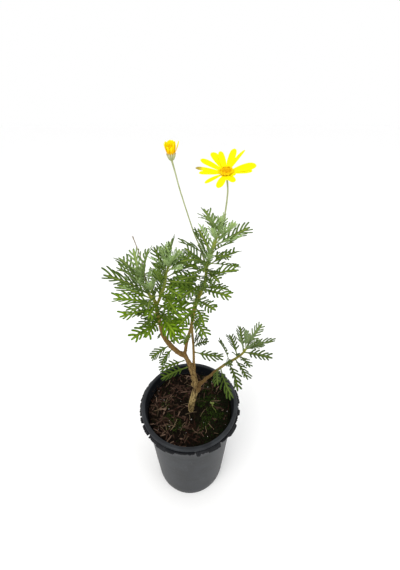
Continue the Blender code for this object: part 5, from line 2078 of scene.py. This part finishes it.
# %% Discs: florets
DOME_SIDES = 24
OPENED_WIDER = 1.3
CLOSED_FLORET = ((0.42, 0), (0.46, 1.1), (0.50, 1.6), (0.40, 1.95), (0.16, 2.1))
OPEN_FLORET = ((0.36, 0), (0.40, 1.4), (0.62, 1.95), (0.86, 2.2), (0.34, 1.85), (0.2, 1.5))
LIT_FROM = 1.6
OPEN_DOME = (
    (2.4, 5.0), (2.8, 5.4), (4.3, 5.7), (4.9, 6.0), (4.6, 6.5), (3.4, 6.8), (1.8, 6.95), (0.5, 7.0)
)
BUD_DOME = ((2.0, 4.9), (2.4, 6.2), (2.5, 8.0), (2.3, 9.4), (1.5, 10.3), (0.4, 10.6))


def opened(tube, sides):
    """Draws the rim of a floret out at every second corner, so that it opens in points."""
    places = points_of(tube)
    rim = places[:, 2].max()
    for index, (x, y, z) in enumerate(places):
        if rim - z < 0.01:
            turn = atan2(y, x) % tau
            star = OPENED_WIDER if round(turn / tau * sides) % 2 == 0 else 0.62
            places[index] = (x * star, y * star, z + (0.12 if star > 1 else -0.25))
    set_points(tube, places)
    return tube


closed_floret = done(pulled_up("closed_floret", 6, CLOSED_FLORET, unit=1))
open_floret = opened(done(pulled_up("open_floret", 10, OPEN_FLORET, unit=1)), 10)


def disc_of(name, rings, count, reach, crown, fall, star_from, size, matrix, seed):
    """A dome with florets over it."""
    draw = random.Random(seed)
    dome = done(pulled_up(name, DOME_SIDES, rings))
    tint(dome, (0, 0.2, 0))
    parts = [dome]
    for number in range(count):
        share = sqrt((number + 0.5) / count)
        out = outward(GOLDEN_ANGLE * number)
        chance = Vector((draw.uniform(-0.1, 0.1), draw.uniform(-0.1, 0.1), 0))
        axis = (out * share * 0.75 + UP + chance).normalized()
        foot = out * reach * share
        foot.z = crown - fall * share**2
        star = share > star_from
        twin = copy_of(open_floret if star else closed_floret)
        scale = size * draw.uniform(0.9, 1.12) * (1.0 if star else 0.8 + 0.3 * share)
        spin = Matrix.Rotation(draw.uniform(0, tau), 4, "Z")
        turned = axis.to_track_quat("Z", "Y").to_matrix().to_4x4() @ spin
        heights = points_of(twin)[:, 2]
        tint(twin, [(share, clamp(z / LIT_FROM), 1.0 if star else 0.0) for z in heights])
        twin.data.transform(Matrix.Translation(foot) @ turned @ Matrix.Scale(scale, 4))
        parts.append(twin)
    whole = joined(name, parts)
    whole.data.transform(matrix)
    return shade(whole, 50)


flower_florets = disc_of(
    "flower_florets", OPEN_DOME, count=120, reach=5.1 * MM, crown=6.85 * MM, fall=0.9 * MM,
    star_from=0.72, size=0.8 * MM, matrix=open_matrix, seed=151
)
bud_florets = disc_of(
    "bud_florets", BUD_DOME, count=60, reach=2.7 * MM, crown=10.4 * MM, fall=4.2 * MM, star_from=2.0,
    size=0.85 * MM, matrix=bud_matrix, seed=152
)
away(closed_floret, open_floret)

# %% [markdown]
# ## Finish of the discs
# Orange, darker low on the florets and on the dome as painted shade and lighter towards their tips, and a
# little pollen here and there.

# %% Finish: disc orange
finish = Finish("disc_orange", Specular_IOR_Level=0.05)
share = finish.tone(0)
tipness = finish.tone(1)
star = finish.tone(2)
fine = finish.noise(0.6 * MM, 3)
inner = finish.mix(share.between(0.1, 0.7), (0.88, 0.55, 0.004), (0.90, 0.57, 0.003))
outer = finish.mix(star * 0.5, inner, (0.94, 0.66, 0.004))
# Painted shade: darker low on each floret and on the dome, lighter towards the floret tips
lit = finish.mix(tipness.between(0.1, 0.9), (0.82, 0.48, 0.003), outer)
powdered = finish.mix(fine.between(0.55, 0.7) * 0.3, lit, (0.98, 0.78, 0.01))
disc_orange = finish.show(powdered, 0.65, fine, depth=0.0002)
dress(flower_florets, disc_orange, "disc_orange", "flower_disc")
dress(bud_florets, disc_orange, "disc_orange", "bud_disc")

# %% [markdown]
# ## Floor and light
# A pale floor and soft daylight: a white surround lights the plant from all sides, and one large area
# lamp, high at the front left, gives the leaves their lit and shaded sides and the pot its highlight.
# Away from the plant the floor turns white, so that it meets the surround without a horizon.

# %% Floor and light
floor = new_piece("floor", bpy.ops.mesh.primitive_plane_add, size=24)
finish = Finish("floor", Specular_IOR_Level=0.2)
cloud = finish.noise(0.4, 2)
near = finish.mix(cloud, (0.94, 0.94, 0.94), (0.97, 0.97, 0.965))
whitened = finish.mix(finish.distance().between(0.3, 1.6), near, (1.0, 1.0, 1.0))
floor.data.materials.append(finish.show(whitened, 0.7))

world = bpy.data.worlds.new("surround")
world.use_nodes = True
surround = world.node_tree.nodes["Background"]
surround.inputs["Color"].default_value = (1.0, 1.0, 1.0, 1.0)
surround.inputs["Strength"].default_value = 1.0
bpy.context.scene.world = world


def lamp(name, place, target, size, power, colour):
    light_data = bpy.data.lights.new(name, "AREA")
    light_data.shape = "SQUARE"
    light_data.size = size
    light_data.energy = power
    light_data.color = colour
    light = bpy.data.objects.new(name, light_data)
    bpy.context.scene.collection.objects.link(light)
    light.location = place
    aim = Vector(target) - Vector(place)
    light.rotation_euler = aim.to_track_quat("-Z", "Y").to_euler()
    return light


key = lamp("key", (-0.7, -0.9, 1.5), (0, 0, 0.22), size=0.9, power=12, colour=(1.0, 0.985, 0.96))
fill = lamp("fill", (1.1, -0.6, 0.9), (0, 0, 0.25), size=0.9, power=4, colour=(0.96, 0.98, 1.0))
print("lamps:", key.data.energy, "and", fill.data.energy, "watts")
